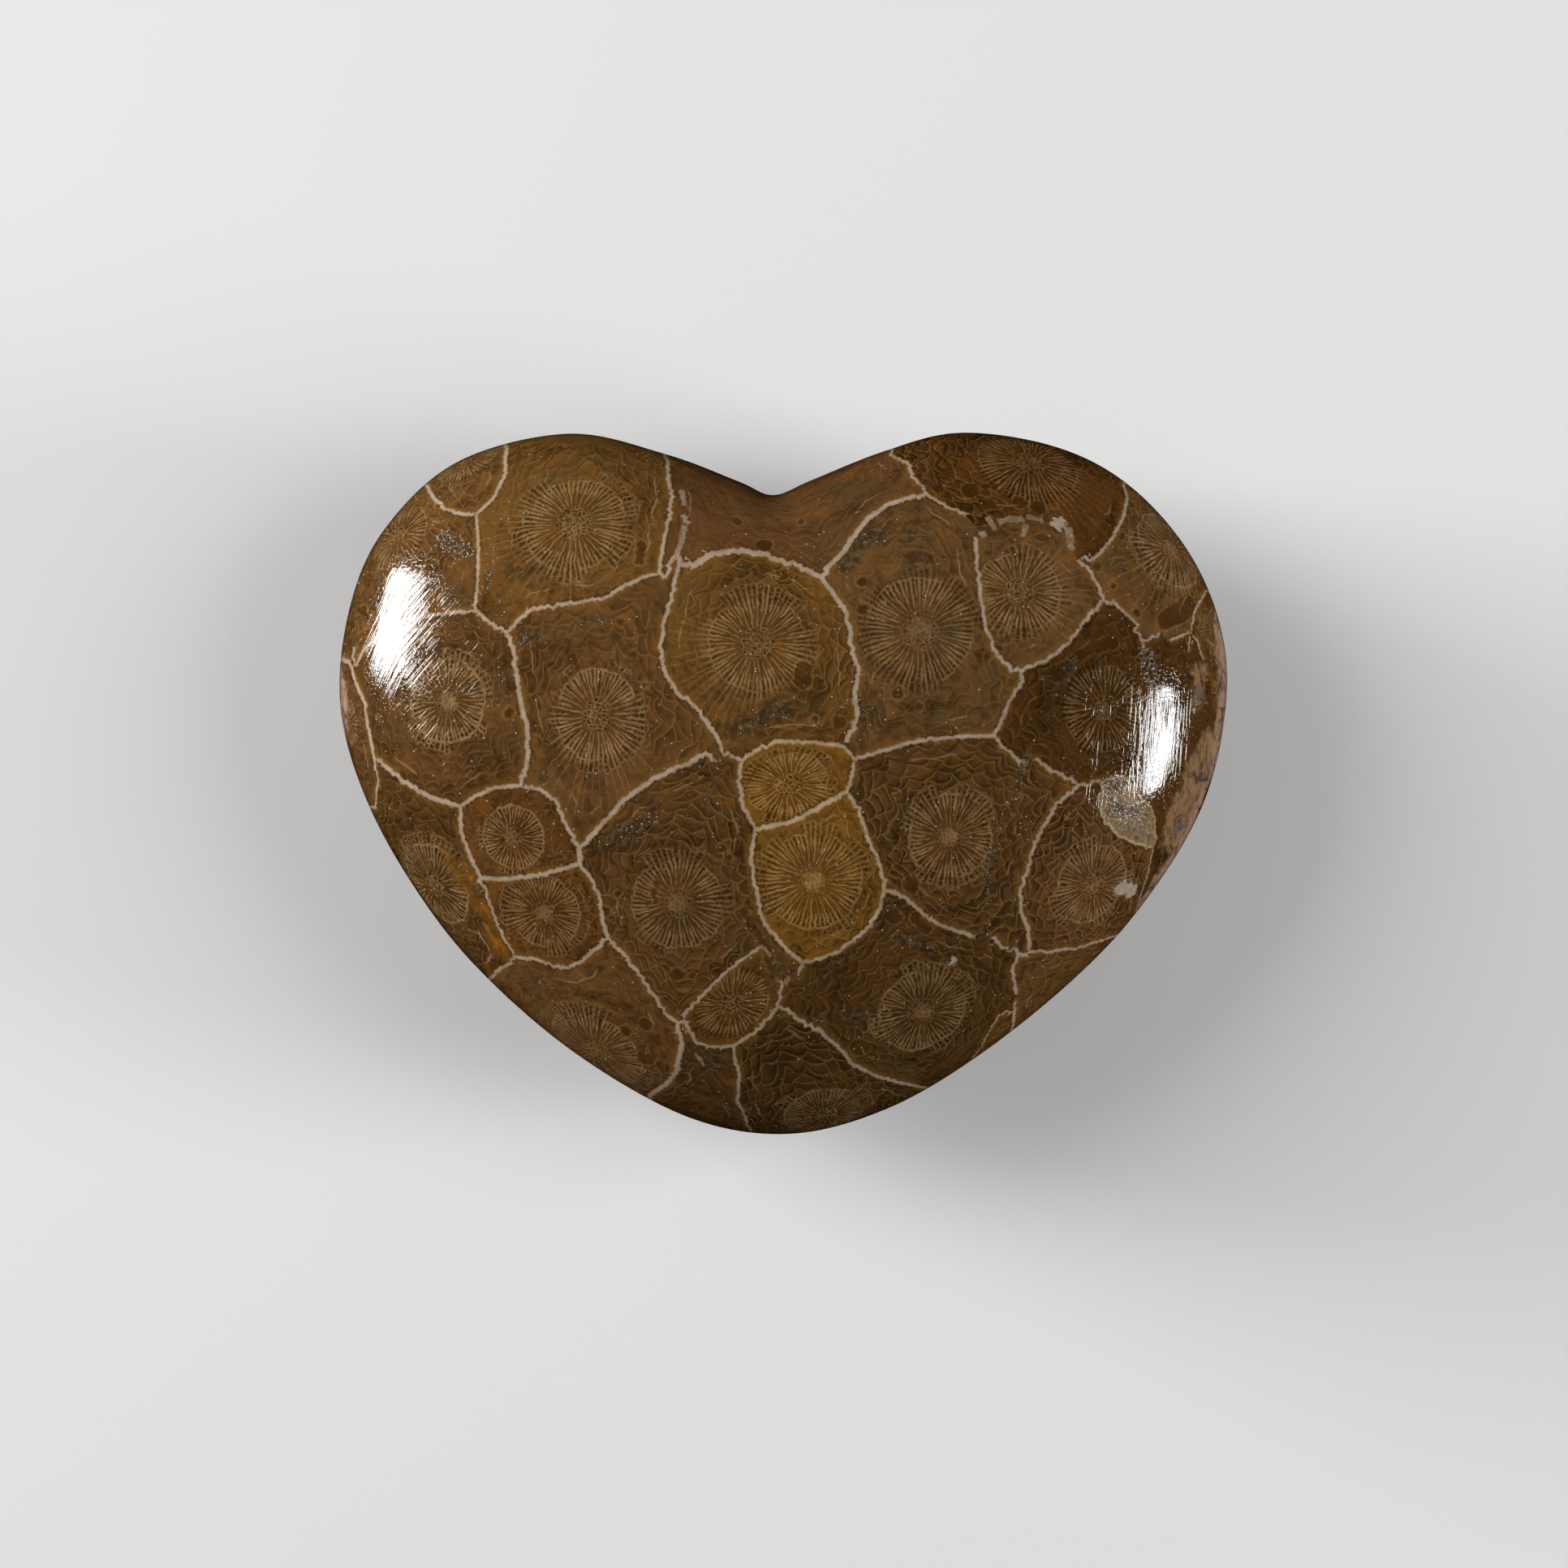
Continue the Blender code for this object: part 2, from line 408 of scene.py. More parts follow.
WALLS = (
    Wall(("A", "B"), ((624, 550), (622, 585), (607, 615), (589, 631)), over_edge=True),
    Wall(("A", "left top"), ((585, 634), (566, 633), (546, 626), (530, 607), (526, 598)),
         over_edge=True),
    Wall(("B", "left top"), ((587, 634), (589, 666), (589, 707), (585, 752)), 0.15),
    Wall(("C", "left top"), ((438, 820), (448, 800), (470, 778), (500, 763), (530, 759),
         (555, 755), (585, 752))),
    Wall(("B", "C"), ((585, 752), (607, 770), (624, 779))),
    Wall(("B", "D"), ((624, 779), (637, 765), (655, 752), (696, 744), (744, 737), (770, 722),
         (792, 711), (812, 705))),
    Wall(("B", "Z"), ((812, 707), (814, 690), (817, 672), (820, 655), (824, 640), (826, 625),
         (829, 611), (825, 600), (824, 590), (822, 568)), over_edge=True),
    Wall(("D", "E"), ((838, 692), (835, 704), (831, 717), (828, 732), (818, 766), (814, 796),
         (818, 826), (833, 851), (859, 874), (881, 903), (890, 925))),
    Wall(("E", "Z"), ((842, 702), (857, 695), (877, 683), (907, 678), (936, 681), (970, 694)),
         0.27),
    Wall(("E", "Z"), ((981, 695), (1000, 705), (1012, 712)), 0.21),
    Wall(("E", "F"), ((1012, 712), (1025, 729), (1043, 755), (1049, 792), (1057, 826), (1053, 855),
         (1056, 885), (1041, 919)), 0.2),
    Wall(("E", "P"), ((898, 931), (914, 937)), 0.12),
    Wall(("E", "N"), ((914, 937), (933, 924), (960, 914), (997, 914), (1041, 920))),
    Wall(("F", "N"), ((1041, 920), (1053, 935)), 0.15),
    Wall(("F", "M"), ((1053, 935), (1082, 927), (1127, 914), (1167, 909), (1197, 907),
         (1225, 907)), 0.17),
    Wall(("F", "J"), ((1225, 907), (1234, 888), (1245, 863), (1260, 840), (1258, 826))),
    Wall(("G", "J"), ((1258, 826), (1278, 818), (1300, 807), (1317, 792), (1330, 774), (1345, 755),
         (1359, 740))),
    Wall(("F", "G"), ((1202, 665), (1204, 700), (1209, 737), (1215, 774), (1226, 803),
         (1247, 827))),
    Wall(("G", "H"), ((1207, 650), (1217, 650), (1228, 646), (1245, 641), (1262, 640), (1284, 642),
         (1306, 644), (1317, 652), (1320, 668), (1328, 690)), 0),
    Wall(("G", "I"), ((1328, 690), (1341, 700), (1352, 718), (1359, 740))),
    Wall(("H", "I"), ((1339, 692), (1352, 685), (1371, 663), (1384, 637), (1389, 615),
         (1385, 596)), 0.16, True),
    Wall(("H", "Z"), ((1097, 561), (1119, 570), (1127, 589), (1141, 607)), 0.16, True),
    Wall(("F", "H"), ((1141, 607), (1158, 619), (1175, 627), (1190, 633)), 0.15),
    Wall(("F", "H"), ((1190, 634), (1207, 650)), 0),
    Wall(("F", "Z"), ((1141, 607), (1119, 613), (1093, 622), (1071, 637), (1053, 659), (1038, 681),
         (1016, 702)), 0.22),
    Wall(("I", "J"), ((1376, 746), (1391, 759), (1402, 770)), 0.16),
    Wall(("I", "J"), ((1399, 776), (1409, 789), (1426, 783)), 0.12),
    Wall(("I", "J"), ((1446, 787), (1467, 779)), 0.12),
    Wall(("I", "right edge"), ((1467, 779), (1472, 752), (1487, 729)), 0.12, True),
    Wall(("rind", "right edge"), ((1467, 779), (1476, 792), (1482, 809)), 0.12),
    Wall(("J", "M"), ((1225, 907), (1234, 918), (1245, 927), (1256, 937)), 0.16),
    Wall(("J", "M"), ((1278, 937), (1293, 948), (1311, 957), (1328, 968)), 0.16),
    Wall(("J", "L"), ((1328, 968), (1358, 964)), 0.13),
    Wall(("J", "K"), ((1358, 964), (1380, 957), (1398, 968), (1409, 986)), 0.12),
    Wall(("K", "L"), ((1358, 964), (1354, 985), (1361, 1011), (1378, 1029), (1400, 1040),
         (1422, 1043)), 0.13),
    Wall(("K", "rind"), ((1422, 1043), (1424, 1022), (1421, 999), (1409, 986)), 0.12),
    Wall(("L", "M"), ((1328, 968), (1300, 994), (1284, 1022), (1271, 1051), (1263, 1080),
         (1256, 1104), (1259, 1125), (1267, 1145), (1269, 1171))),
    Wall(("L", "Y"), ((1269, 1174), (1280, 1171), (1292, 1173), (1325, 1169), (1353, 1161),
         (1376, 1153)), 0.16, True),
    Wall(("L", "rind"), ((1422, 1043), (1416, 1071), (1410, 1092), (1399, 1128)), 0.1, True),
    Wall(("V", "Y"), ((1256, 1179), (1249, 1186), (1247, 1196), (1250, 1208), (1252, 1222)), 0.16),
    Wall(("V", "Y"), ((1251, 1236), (1250, 1246)), 0.15),
    Wall(("X", "Y"), ((1250, 1246), (1249, 1262), (1246, 1272)), 0.15, True),
    Wall(("M", "V"), ((1090, 1098), (1112, 1104), (1141, 1129), (1160, 1140), (1176, 1146),
         (1190, 1151), (1195, 1154))),
    Wall(("M", "V"), ((1227, 1158), (1231, 1163), (1238, 1168)), 0.16),
    Wall(("N", "O"), ((1043, 976), (1018, 990), (982, 1010), (953, 1018), (931, 1022)), 0.2),
    Wall(("M", "N"), ((1053, 935), (1049, 961), (1043, 976)), 0.16),
    Wall(("M", "O"), ((1043, 976), (1059, 998), (1067, 1027), (1080, 1055), (1088, 1080),
         (1090, 1098)), 0.17),
    Wall(("O", "V"), ((1090, 1098), (1084, 1120), (1069, 1145), (1039, 1169), (1010, 1182),
         (988, 1186))),
    Wall(("O", "P"), ((931, 1022), (925, 1055), (931, 1096), (939, 1133), (957, 1157), (974, 1174),
         (988, 1186))),
    Wall(("N", "P"), ((914, 937), (910, 961), (916, 994), (931, 1022))),
    Wall(("P", "V"), ((988, 1187), (986, 1194), (983, 1201)), 0.13),
    Wall(("P", "V"), ((981, 1205), (974, 1208), (967, 1211)), 0.0),
    Wall(("U", "V"), ((963, 1214), (961, 1227), (959, 1239)), 0.14),
    Wall(("V", "W"), ((959, 1241), (970, 1245), (986, 1258), (1010, 1271), (1031, 1288), (1051, 1312),
         (1084, 1327), (1112, 1335), (1141, 1341)), 0.18, True),
    Wall(("U", "W"), ((959, 1241), (937, 1266), (914, 1283), (903, 1289))),
    Wall(("P", "U"), ((933, 1170), (914, 1183), (890, 1202), (866, 1226), (849, 1245),
         (842, 1254)), 0.14),
    Wall(("U", "low edge"), ((842, 1262), (850, 1274), (859, 1285)), 0.15),
    Wall(("U", "low edge"), ((859, 1285), (875, 1290), (893, 1290), (903, 1289)), 0.16),
    Wall(("P", "T"), ((748, 1156), (770, 1177), (792, 1206), (811, 1236), (826, 1256),
         (836, 1258)), 0.17),
    Wall(("T", "low edge"), ((836, 1262), (841, 1272), (841, 1286), (837, 1303), (833, 1320),
         (822, 1335), (800, 1350)), 0.22, True),
    Wall(("W", "low edge"), ((903, 1294), (906, 1306), (910, 1320), (910, 1337), (909, 1357),
         (918, 1377), (925, 1393)), 0.15, True),
    Wall(("Q", "R"), ((592, 1082), (622, 1084), (659, 1079), (692, 1071), (714, 1065)), 0.2),
    Wall(("P", "R"), ((714, 1065), (729, 1084), (739, 1107), (742, 1132), (748, 1156))),
    Wall(("R", "T"), ((748, 1156), (733, 1171), (714, 1186), (696, 1193), (680, 1190), (662, 1182),
         (645, 1181), (633, 1178))),
    Wall(("R", "S"), ((596, 1088), (600, 1103), (609, 1128), (613, 1141), (618, 1150), (624, 1162),
         (630, 1169), (633, 1178)), 0.15),
    Wall(("S", "T"), ((633, 1178), (629, 1187), (620, 1191), (612, 1197), (607, 1203)), 0.15, True),
    Wall(("C", "Q"), ((567, 994), (585, 981), (607, 971), (642, 968))),
    Wall(("D", "Q"), ((642, 968), (666, 973), (685, 988), (696, 1014), (714, 1044))),
    Wall(("P", "Q"), ((714, 1044), (714, 1065)), 0.22),
    Wall(("Q", "S"), ((567, 994), (568, 1025), (578, 1055), (592, 1082)), 0.2),
    Wall(("C", "S"), ((567, 994), (548, 988), (522, 979), (496, 962), (474, 944), (461, 937)),
         0.22),
    Wall(("C", "left edge"), ((461, 937), (454, 900), (448, 866), (435, 833), (430, 815)),
         0.2, True),
    Wall(("S", "left edge"), ((461, 937), (466, 962), (461, 994)), 0.15, True),
    Wall(("C", "D"), ((624, 779), (631, 796), (637, 833), (642, 870), (650, 900), (650, 937),
         (642, 968)), 0.21),
    Wall(("D", "P"), ((714, 1044), (740, 1018), (770, 985), (807, 959), (844, 942), (868, 929)),
         0.2),
    Wall(("V", "X"), ((1243, 1244), (1232, 1251), (1225, 1260), (1218, 1275), (1208, 1291),
         (1197, 1306), (1184, 1317)), 0.11, True),
)

# Middles of the corallites that only the back shows, in millimetres across and along.
BACK_MIDDLES = (
    (27, 6), (21, -7), (11, -17), (-1, -20), (-12, -16), (-22, -6), (-27, 7), (-20, 18),
    (-8, 17), (3, 13), (14, 19), (23, 16), (13, 5), (2, 1), (-12, 5), (-5, -9), (8, -7),
)
BACK_SEED = 7
BACK_TONES = 7  # how many of the tones it uses, from the first
BACK_DISC = (42, 58)  # in pixels, as on the face
BACK_SEPTUM_PAIRS = (21, 27)
BACK_FANS = 0.4  # share of the corallites whose septa run on past the disc
CHANCE_SEED = 3


LOOSE_WALLS = strokes(
    (3.0, (840, 603), (842, 612), (843, 622)),
    (2.5, (843, 634), (845, 641), (849, 645)),
    (3.4, (844, 648), (841, 662), (838, 672), (834, 682), (831, 689)),
    (2.6, (1212, 647), (1213, 648)),
    (3.0, (1217, 637), (1222, 645), (1227, 652)),
    (4.6, (1230, 643), (1245, 640), (1262, 639)),
    (3.3, (1265, 637), (1276, 638.5), (1285, 643)),
    (3.0, (1265, 646), (1259.5, 660)),
    (3.5, (1210, 655), (1212.5, 661)),
    (5.0, (1317, 650), (1319, 660), (1318, 668), (1321, 677)),
    (3.0, (1256, 1174), (1261, 1178)),
    (2.0, (1409, 789), (1409, 802)),
    (1.0, (576, 1145), (590, 1150), (600, 1165), (606, 1180)),
    (1.0, (606, 1180), (597, 1187)),
    (2.2, (971, 1204), (968, 1213)),
    (1.8, (856, 1299), (862, 1305), (867, 1313)),
)


class MarkKind(Enum):
    """What a mark that isn't part of a corallite is made of, numbered as the mesh keeps them."""

    CRYSTAL = 0
    RIND = 1
    RUST = 2
    PALE = 3
    HOLLOW = 4


# Crystal pockets, weathered rind, rust, pale crumbs and large bubbles.
MARKS = {
    MarkKind.CRYSTAL: strokes(
        (12, (1036, 701), (1060, 675), (1091, 649)), (12, (740, 1045), (775, 1022), (812, 1002)),
        (7, (712, 764), (770, 768)), (9, (636, 790), (652, 786), (668, 782)),
        (13, (915, 900), (945, 882), (975, 872)), (6, (885, 932), (877, 970), (868, 998)),
        (8, (1265, 930), (1247, 985), (1222, 1060), (1212, 1150)),
        (6, (945, 1180), (965, 1200), (1000, 1215)), (6, (868, 1300), (885, 1320)),
        (6, (1062, 870), (1064, 905)), (11, (668, 950), (674, 960)), (5, (604, 700), (592, 735)),
        (7, (607, 672), (618, 680)), (5, (530, 616), (545, 621)), (7, (616, 828), (620, 840)),
        (5, (626, 852), (627, 860)), (6, (1000, 1281), (1012, 1286)),
        (7, (1045, 1264), (1060, 1247), (1075, 1224)), (8, (1312, 828), (1326, 815)),
        (8, (1254, 1016), (1256, 1026)), (11, (1366, 972), (1386, 962)),
        (9, (1368, 996), (1402, 1003)), (12, (545, 660), (575, 680)),
        (6, (1212, 1166), (1222, 1172)), (7, (1010, 1203), (1040, 1183), (1066, 1165)),
        (9, (1090, 1160), (1120, 1160), (1150, 1172)), (11, (1411, 800), (1424, 842)),
        (6, (437, 792), (437, 811)),
    ),
    MarkKind.RIND: strokes(
        (24, (1508, 780), (1508, 880), (1500, 925)), (13, (1476, 822), (1480, 850), (1474, 880)),
        (30, (1493, 920), (1468, 975), (1446, 1035)), (14, (1432, 1070), (1405, 1125)),
        (12, (427, 735), (424, 775)), (8, (420, 835), (425, 930)),
    ),
    MarkKind.RUST: strokes(
        (14, (552, 1052), (572, 1078), (592, 1112), (606, 1148), (622, 1182)),
        (8, (596, 1190), (608, 1197)), (1.5, (1225, 650), (1250, 648), (1300, 650)),
    ),
    MarkKind.PALE: strokes(
        (10, (1300, 644), (1309, 643)), (5.5, (1173, 1184), (1177, 1184)),
        (2.5, (1168, 1189), (1170, 1189)), (10, (1378, 1094), (1390, 1095), (1397, 1101)),
    ),
    MarkKind.HOLLOW: strokes(
        (9, (833, 1197), (833, 1206)), (5, (853, 1199), (853, 1207)), (6, (764, 1094), (760, 1110)),
        (6, (745, 1116), (748, 1130)), (7, (886, 1040), (902, 1062)),
        (7, (915, 1118), (930, 1146), (944, 1168), (953, 1196)),
        (4, (812, 1083), (805, 1100), (811, 1118)), (13, (794, 1302), (797, 1309)),
        (8, (769, 1270), (772, 1274)), (9, (796, 1258), (796, 1266)),
        (12, (1058, 1290), (1064, 1292)), (10, (1096, 1130), (1106, 1128)),
        (11, (1118, 1088), (1128, 1096)), (7, (1129, 1127), (1145, 1151)),
        (6, (1178, 1210), (1199, 1213)), (8, (956, 1262), (968, 1261)),
        (8, (832, 1332), (850, 1326)), (9, (572, 1160), (606, 1172)), (9, (1168, 578), (1169, 590)),
        (11, (1195, 600), (1197, 608)), (8, (1155, 597), (1156, 604)),
        (6, (1214, 596), (1216, 612)), (6, (1135, 568), (1136, 582)), (7, (1180, 556), (1182, 565)),
        (9, (1253, 620), (1259, 620)), (9, (1277, 623), (1283, 625)), (6, (1235, 772), (1243, 794)),
        (7, (1352, 692), (1353, 704)), (7, (1373, 717), (1371, 724)), (8, (1401, 748), (1400, 762)),
        (13, (1432, 768), (1452, 756), (1470, 742)), (9, (1298, 834), (1338, 802), (1374, 790)),
        (6, (1475, 760), (1474, 774)), (8, (638, 702), (641, 700)), (8, (790, 665), (787, 697)),
        (7, (762, 765), (768, 769)), (8, (626, 872), (628, 886)), (6, (785, 829), (799, 850)),
        (12, (990, 822), (991, 842)), (8, (998, 886), (1010, 888)), (9, (1034, 888), (1036, 893)),
        (6, (1130, 870), (1137, 870)), (8, (1105, 853), (1107, 857)), (8, (1062, 713), (1063, 722)),
        (7, (1062, 748), (1063, 753)), (10, (938, 667), (947, 676)), (7, (904, 640), (912, 645)),
        (7, (984, 640), (990, 646)),
    ),
}


@dataclass
class Site:
    """A place that belongs to one corallite, beside a wall or at a middle."""

    place: Vector
    owner: int
    half: float
    beside_wall: bool


def run_along(line: Array) -> Array:
    """How far along a line each of its points lies."""
    return np.concatenate([[0], np.cumsum(length(np.diff(line, axis=0)))])


def points_at(line: Array, at: Array) -> Array:
    """Points that lie at other distances along a line."""
    run = run_along(line)
    return np.stack([np.interp(at, run, column) for column in line.T], axis=1)


@dataclass
class CoralPattern:
    """Works out which corallite each bit of the stone belongs to and how far its wall is.

    Args:
        surface: The stone.
        step: Distance between the places kept along a wall, in millimetres.
        beside: How far they lie from the wall, on both sides.
        past_edge: How many pixels a wall runs on past the outline.
        gap: How far past its last place a wall still shows.
        fade: How far on it is gone.
        below_edge: How far below the widest line walls still have such gaps.
        crossed: Within this distance of a wall a face counts as crossed by it.
        near: Within this distance the wall is read from the places beside it.
        far: Past this distance it is read from the wall's own points.
        across_wall: How much farther than the place just across a wall others count.
        loose_reach: How far from a loose piece of wall it is kept, in millimetres.
        joint: How far a stretch of a loose piece runs on past its bend.
        mark_reach: How far outside a mark its depth is still kept.
        names: The corallites' names, filled by lay_out as the lists after it are.
        cells: The corallites.
        middles: Their middles on the stone.
        sites: The places that they are told apart by, the middles first.
    """

    surface: HeartSurface
    step: float = 0.7
    beside: float = 0.45
    past_edge: float = 26.0
    gap: float = 0.55
    fade: float = 0.3
    below_edge: float = 1.0
    crossed: float = 0.3
    near: float = 0.8
    far: float = 1.6
    across_wall: float = 1.3
    loose_reach: float = 1.0
    joint: float = 0.12
    mark_reach: float = 4.0
    names: list[str] = field(default_factory=list)
    cells: list[Corallite] = field(default_factory=list)
    middles: list[Array] = field(default_factory=list)
    sites: list[Site] = field(default_factory=list)

    def lay_out(self) -> None:
        """Fills the lists from the face's corallites, the back's and the walls."""
        for name, cell in FACE.items():
            self.names.append(name)
            self.cells.append(cell)
            self.middles.append(self.surface.lift(np.array([cell.middle]))[0])
        random = np.random.default_rng(BACK_SEED)
        for i, (x, y) in enumerate(BACK_MIDDLES):
            angle, share = self.surface.share_of(np.array([float(x)]), np.array([float(y)]))
            self.names.append(f"back {i}")
            tone = list(Tone)[random.integers(0, BACK_TONES)]
            disc = random.uniform(*BACK_DISC)
            septa = 2 * int(random.integers(*BACK_SEPTUM_PAIRS))
            core, ring, bubbles = random.uniform((0, 0.1, 0.5), (1, 0.8, 1))
            fan = random.uniform(-180, 180) if random.random() < BACK_FANS else None
            self.cells.append(Corallite((0, 0), disc, tone, septa, core, ring, bubbles, fan=fan))
            self.middles.append(self.surface.point(angle, share, np.array([False]))[0])
        for owner, middle in enumerate(self.middles):
            self.sites.append(Site(Vector(middle), owner, Wall.half, False))
        for wall in WALLS:
            self.line_wall(wall)

    def along(self, pixels: Array) -> Array:
        """Even places on the stone along a line of pixels.

        Args:
            pixels: One row of x and y for each corner of the line.

        Returns:
            One row of x, y and z for each place, a step apart.
        """
        points = self.surface.lift(points_at(pixels, np.arange(0, run_along(pixels)[-1], 1.0)))
        whole = run_along(points)[-1]
        count = max(1, round(whole / self.step))
        return points_at(points, (np.arange(count) + 0.5) * whole / count)

    def line_wall(self, wall: Wall) -> None:
        """Puts a site on each side of a wall, all along it.

        Args:
            wall: The wall.
        """
        a, b = (self.names.index(side) for side in wall.sides)
        pixels = np.array(wall.line, float)
        if wall.over_edge:
            from_middle = pixels - np.array(HEART_CENTRE_PX)
            first_out, *_, last_out = length(from_middle)
            outer = 0 if first_out > last_out else -1
            away = from_middle[outer] / max(first_out, last_out)
            past = pixels[outer] + self.past_edge * away
            pixels = np.array([past, *pixels] if outer == 0 else [*pixels, past])
        heading = np.diff(pixels, axis=0)
        halfway = (pixels[1:] + pixels[:-1]) / 2
        score = 0.0
        for cell, sign in ((self.cells[a], 1.0), (self.cells[b], -1.0)):
            to_cell = np.array(cell.middle) - halfway
            # A pixel's y runs down, so a middle on the left has a negative cross product.
            cross = heading[:, 0] * to_cell[:, 1] - heading[:, 1] * to_cell[:, 0]
            score -= sign * np.sign(cross).sum()
        left, right = (a, b) if score > 0 else (b, a)
        points = self.along(pixels)
        one = len(points) == 1
        ahead = self.surface.lift(pixels)[-1:] - points if one else np.gradient(points, axis=0)
        to_left = self.beside * unit(np.cross(self.surface.normal(points), ahead))
        for point, aside in zip(points, to_left):
            self.sites.append(Site(Vector(point + aside), left, wall.half, True))
            self.sites.append(Site(Vector(point - aside), right, wall.half, True))

    def nearest(self, centres: Array, places: Array, owners: Array) -> tuple[Array, Array]:
        """The site that each face belongs to and the one across its nearest wall.

        Args:
            centres: Middles of the faces.
            places: Where the sites are.
            owners: Whose they are.

        Returns:
            The two sites' numbers for each face.
        """
        gaps = length(places[:, None] - places[None])
        first_pair = len(self.middles)
        numbers = np.arange(len(places))
        partners = np.where(numbers < first_pair, numbers, first_pair + ((numbers - first_pair) ^ 1))
        own, other = np.empty((2, len(centres)), int)
        chunk = 4000
        for start in range(0, len(centres), chunk):
            part = slice(start, start + chunk)
            square = ((centres[part, None] - places[None]) ** 2).sum(axis=2)
            mine = square.argmin(axis=1)
            rows = np.arange(len(mine))
            rise = square - square[rows, mine][:, None]
            rise = rise / (2 * gaps[mine] + 1e-9) * self.across_wall
            rise[rows, partners[mine]] /= self.across_wall
            rise[owners[None] == owners[mine][:, None]] = np.inf
            own[part], other[part] = mine, rise.argmin(axis=1)
        return own, other

    def read(self, corners: Array) -> dict[str, Array]:
        """Values that the stone's material draws from, for every corner of every face.

        Args:
            corners: Places of the four corners of each face, in millimetres.

        Returns:
            Rows of three values for each corner, by attribute name.
        """
        places, owners, halves, beside_wall = (
            np.array([getattr(site, name) for site in self.sites])
            for name in ("place", "owner", "half", "beside_wall"))
        centres = corners.mean(axis=1)
        own, other = self.nearest(centres, places, owners)

        own_place, other_place = places[own][:, None], places[other][:, None]
        apart = length(other_place - own_place)
        near = ((corners - other_place) ** 2).sum(axis=2) - ((corners - own_place) ** 2).sum(axis=2)
        near = near / (2 * apart)
        homeward = (own_place - other_place) / apart[..., None]
        foot = corners - near[..., None] * homeward

        # Points on the walls themselves, from the faces that a wall crosses.
        crossed = np.abs(near.mean(axis=1)) < self.crossed
        on_wall = foot.mean(axis=1)[crossed]
        tree = kdtree.KDTree(len(on_wall))
        for i, point in enumerate(on_wall):
            tree.insert(Vector(point), i)
        tree.balance()
        unique, back = np.unique(np.round(corners.reshape(-1, 3), 4), axis=0, return_inverse=True)
        distance = np.array([tree.find(Vector(p))[2] for p in unique])
        distance = distance[back.ravel()].reshape(near.shape)

        blend = np.clip((distance - self.near) / (self.far - self.near), 0, 1)
        wall = near * (1 - blend) + distance * blend
        order = np.where(owners[own] < owners[other], 1.0, -1.0)[:, None]

        aside = ((centres - own_place[:, 0]) ** 2).sum(axis=1)
        aside = np.sqrt(np.clip(aside - (self.beside - near.mean(axis=1)) ** 2, 0, None))
        on_face = centres[:, 2] > self.surface.form.widest_z() - self.below_edge
        missing = np.clip((aside - self.gap) / self.fade, 0, 1) * (on_face & beside_wall[own])
        half = np.where(beside_wall[own], halves[own], halves[other])
        every = np.ones_like(near)
        rows = (wall * order, every * (1 - missing)[:, None], every * half[:, None])
        return {
            "wall": np.stack(rows, axis=2),
            "foot": foot,
            "loose": self.read_loose(corners),
            **self.read_cells(corners, owners[own]),
        }

    def read_loose(self, corners: Array) -> Array:
        """Where each corner lies against the nearest loose piece of wall.

        Args:
            corners: Places of the four corners of each face, in millimetres.

        Returns:
            For each corner how far it lies beside the piece, with a sign, how far past its
            ends, and half of the piece's width.
        """
        far_off = 9.0
        values = np.full(corners.shape, far_off)
        centres = corners.mean(axis=1)
        best = np.full(len(centres), self.loose_reach)
        for piece in LOOSE_WALLS:
            line = self.surface.lift(np.array(piece.line, float))
            normals = self.surface.normal((line[1:] + line[:-1]) / 2)
            last = len(normals) - 1
            for i, normal in enumerate(normals):
                whole = length(line[i + 1] - line[i])
                ahead = (line[i + 1] - line[i]) / whole
                reached = np.clip((centres - line[i]) @ ahead, 0, whole)
                apart = length(centres - line[i] - reached[:, None] * ahead)
                closer = apart < best
                best[closer] = apart[closer]
                offset = corners[closer] - line[i]
                run = offset @ ahead
                before = -run - (self.joint if i > 0 else 0)
                after = run - whole - (self.joint if i < last else 0)
                beside = offset @ np.cross(normal, ahead)
                half = np.full_like(run, piece.half * MM_PER_PX)
                values[closer] = np.stack([beside, np.maximum(before, after), half], axis=2)
        return values

    def read_cells(self, corners: Array, cell_of: Array) -> dict[str, Array]:
        """The attributes that come from the corallite that a face belongs to.

        Args:
            corners: Places of the four corners of each face, in millimetres.
            cell_of: The corallite of each face.

        Returns:
            Rows of three values for each corner, by attribute name.
        """
        middles = np.array(self.middles)
        normals = self.surface.normal(middles)
        across = unit(np.cross(np.array([0.0, 1.0, 0.0]), normals))
        along = np.cross(normals, across)
        turns = np.radians([cell.oval[1] for cell in self.cells])[:, None]
        first = across * np.cos(turns) + along * np.sin(turns)
        second = along * np.cos(turns) - across * np.sin(turns)
        offset = corners - middles[cell_of][:, None]
        u, v = ((offset * axis[cell_of][:, None]).sum(axis=2) for axis in (first, second))
        stretch = length(offset) / np.maximum(np.hypot(u, v), 1e-6)
        width = np.sqrt([cell.oval[0] for cell in self.cells])[cell_of][:, None]
        disc = np.array([cell.disc * MM_PER_PX for cell in self.cells])[cell_of][:, None]
        polar = [u * stretch / width, v * stretch * width, np.repeat(disc, 4, axis=1)]
        chances = np.random.default_rng(CHANCE_SEED).random(len(self.cells))
        common = {
            "cup": [(cell.septa, chance, cell.core) for cell, chance in zip(self.cells, chances)],
            "make": [(cell.ring, cell.bubbles, cell.fan_turn()) for cell in self.cells],
            "tone": [cell.tone.value for cell in self.cells],
        }
        values = {name: np.repeat(np.array(rows)[cell_of][:, None], 4, axis=1)
                  for name, rows in common.items()}
        return {"polar": np.stack(polar, axis=2), **values}

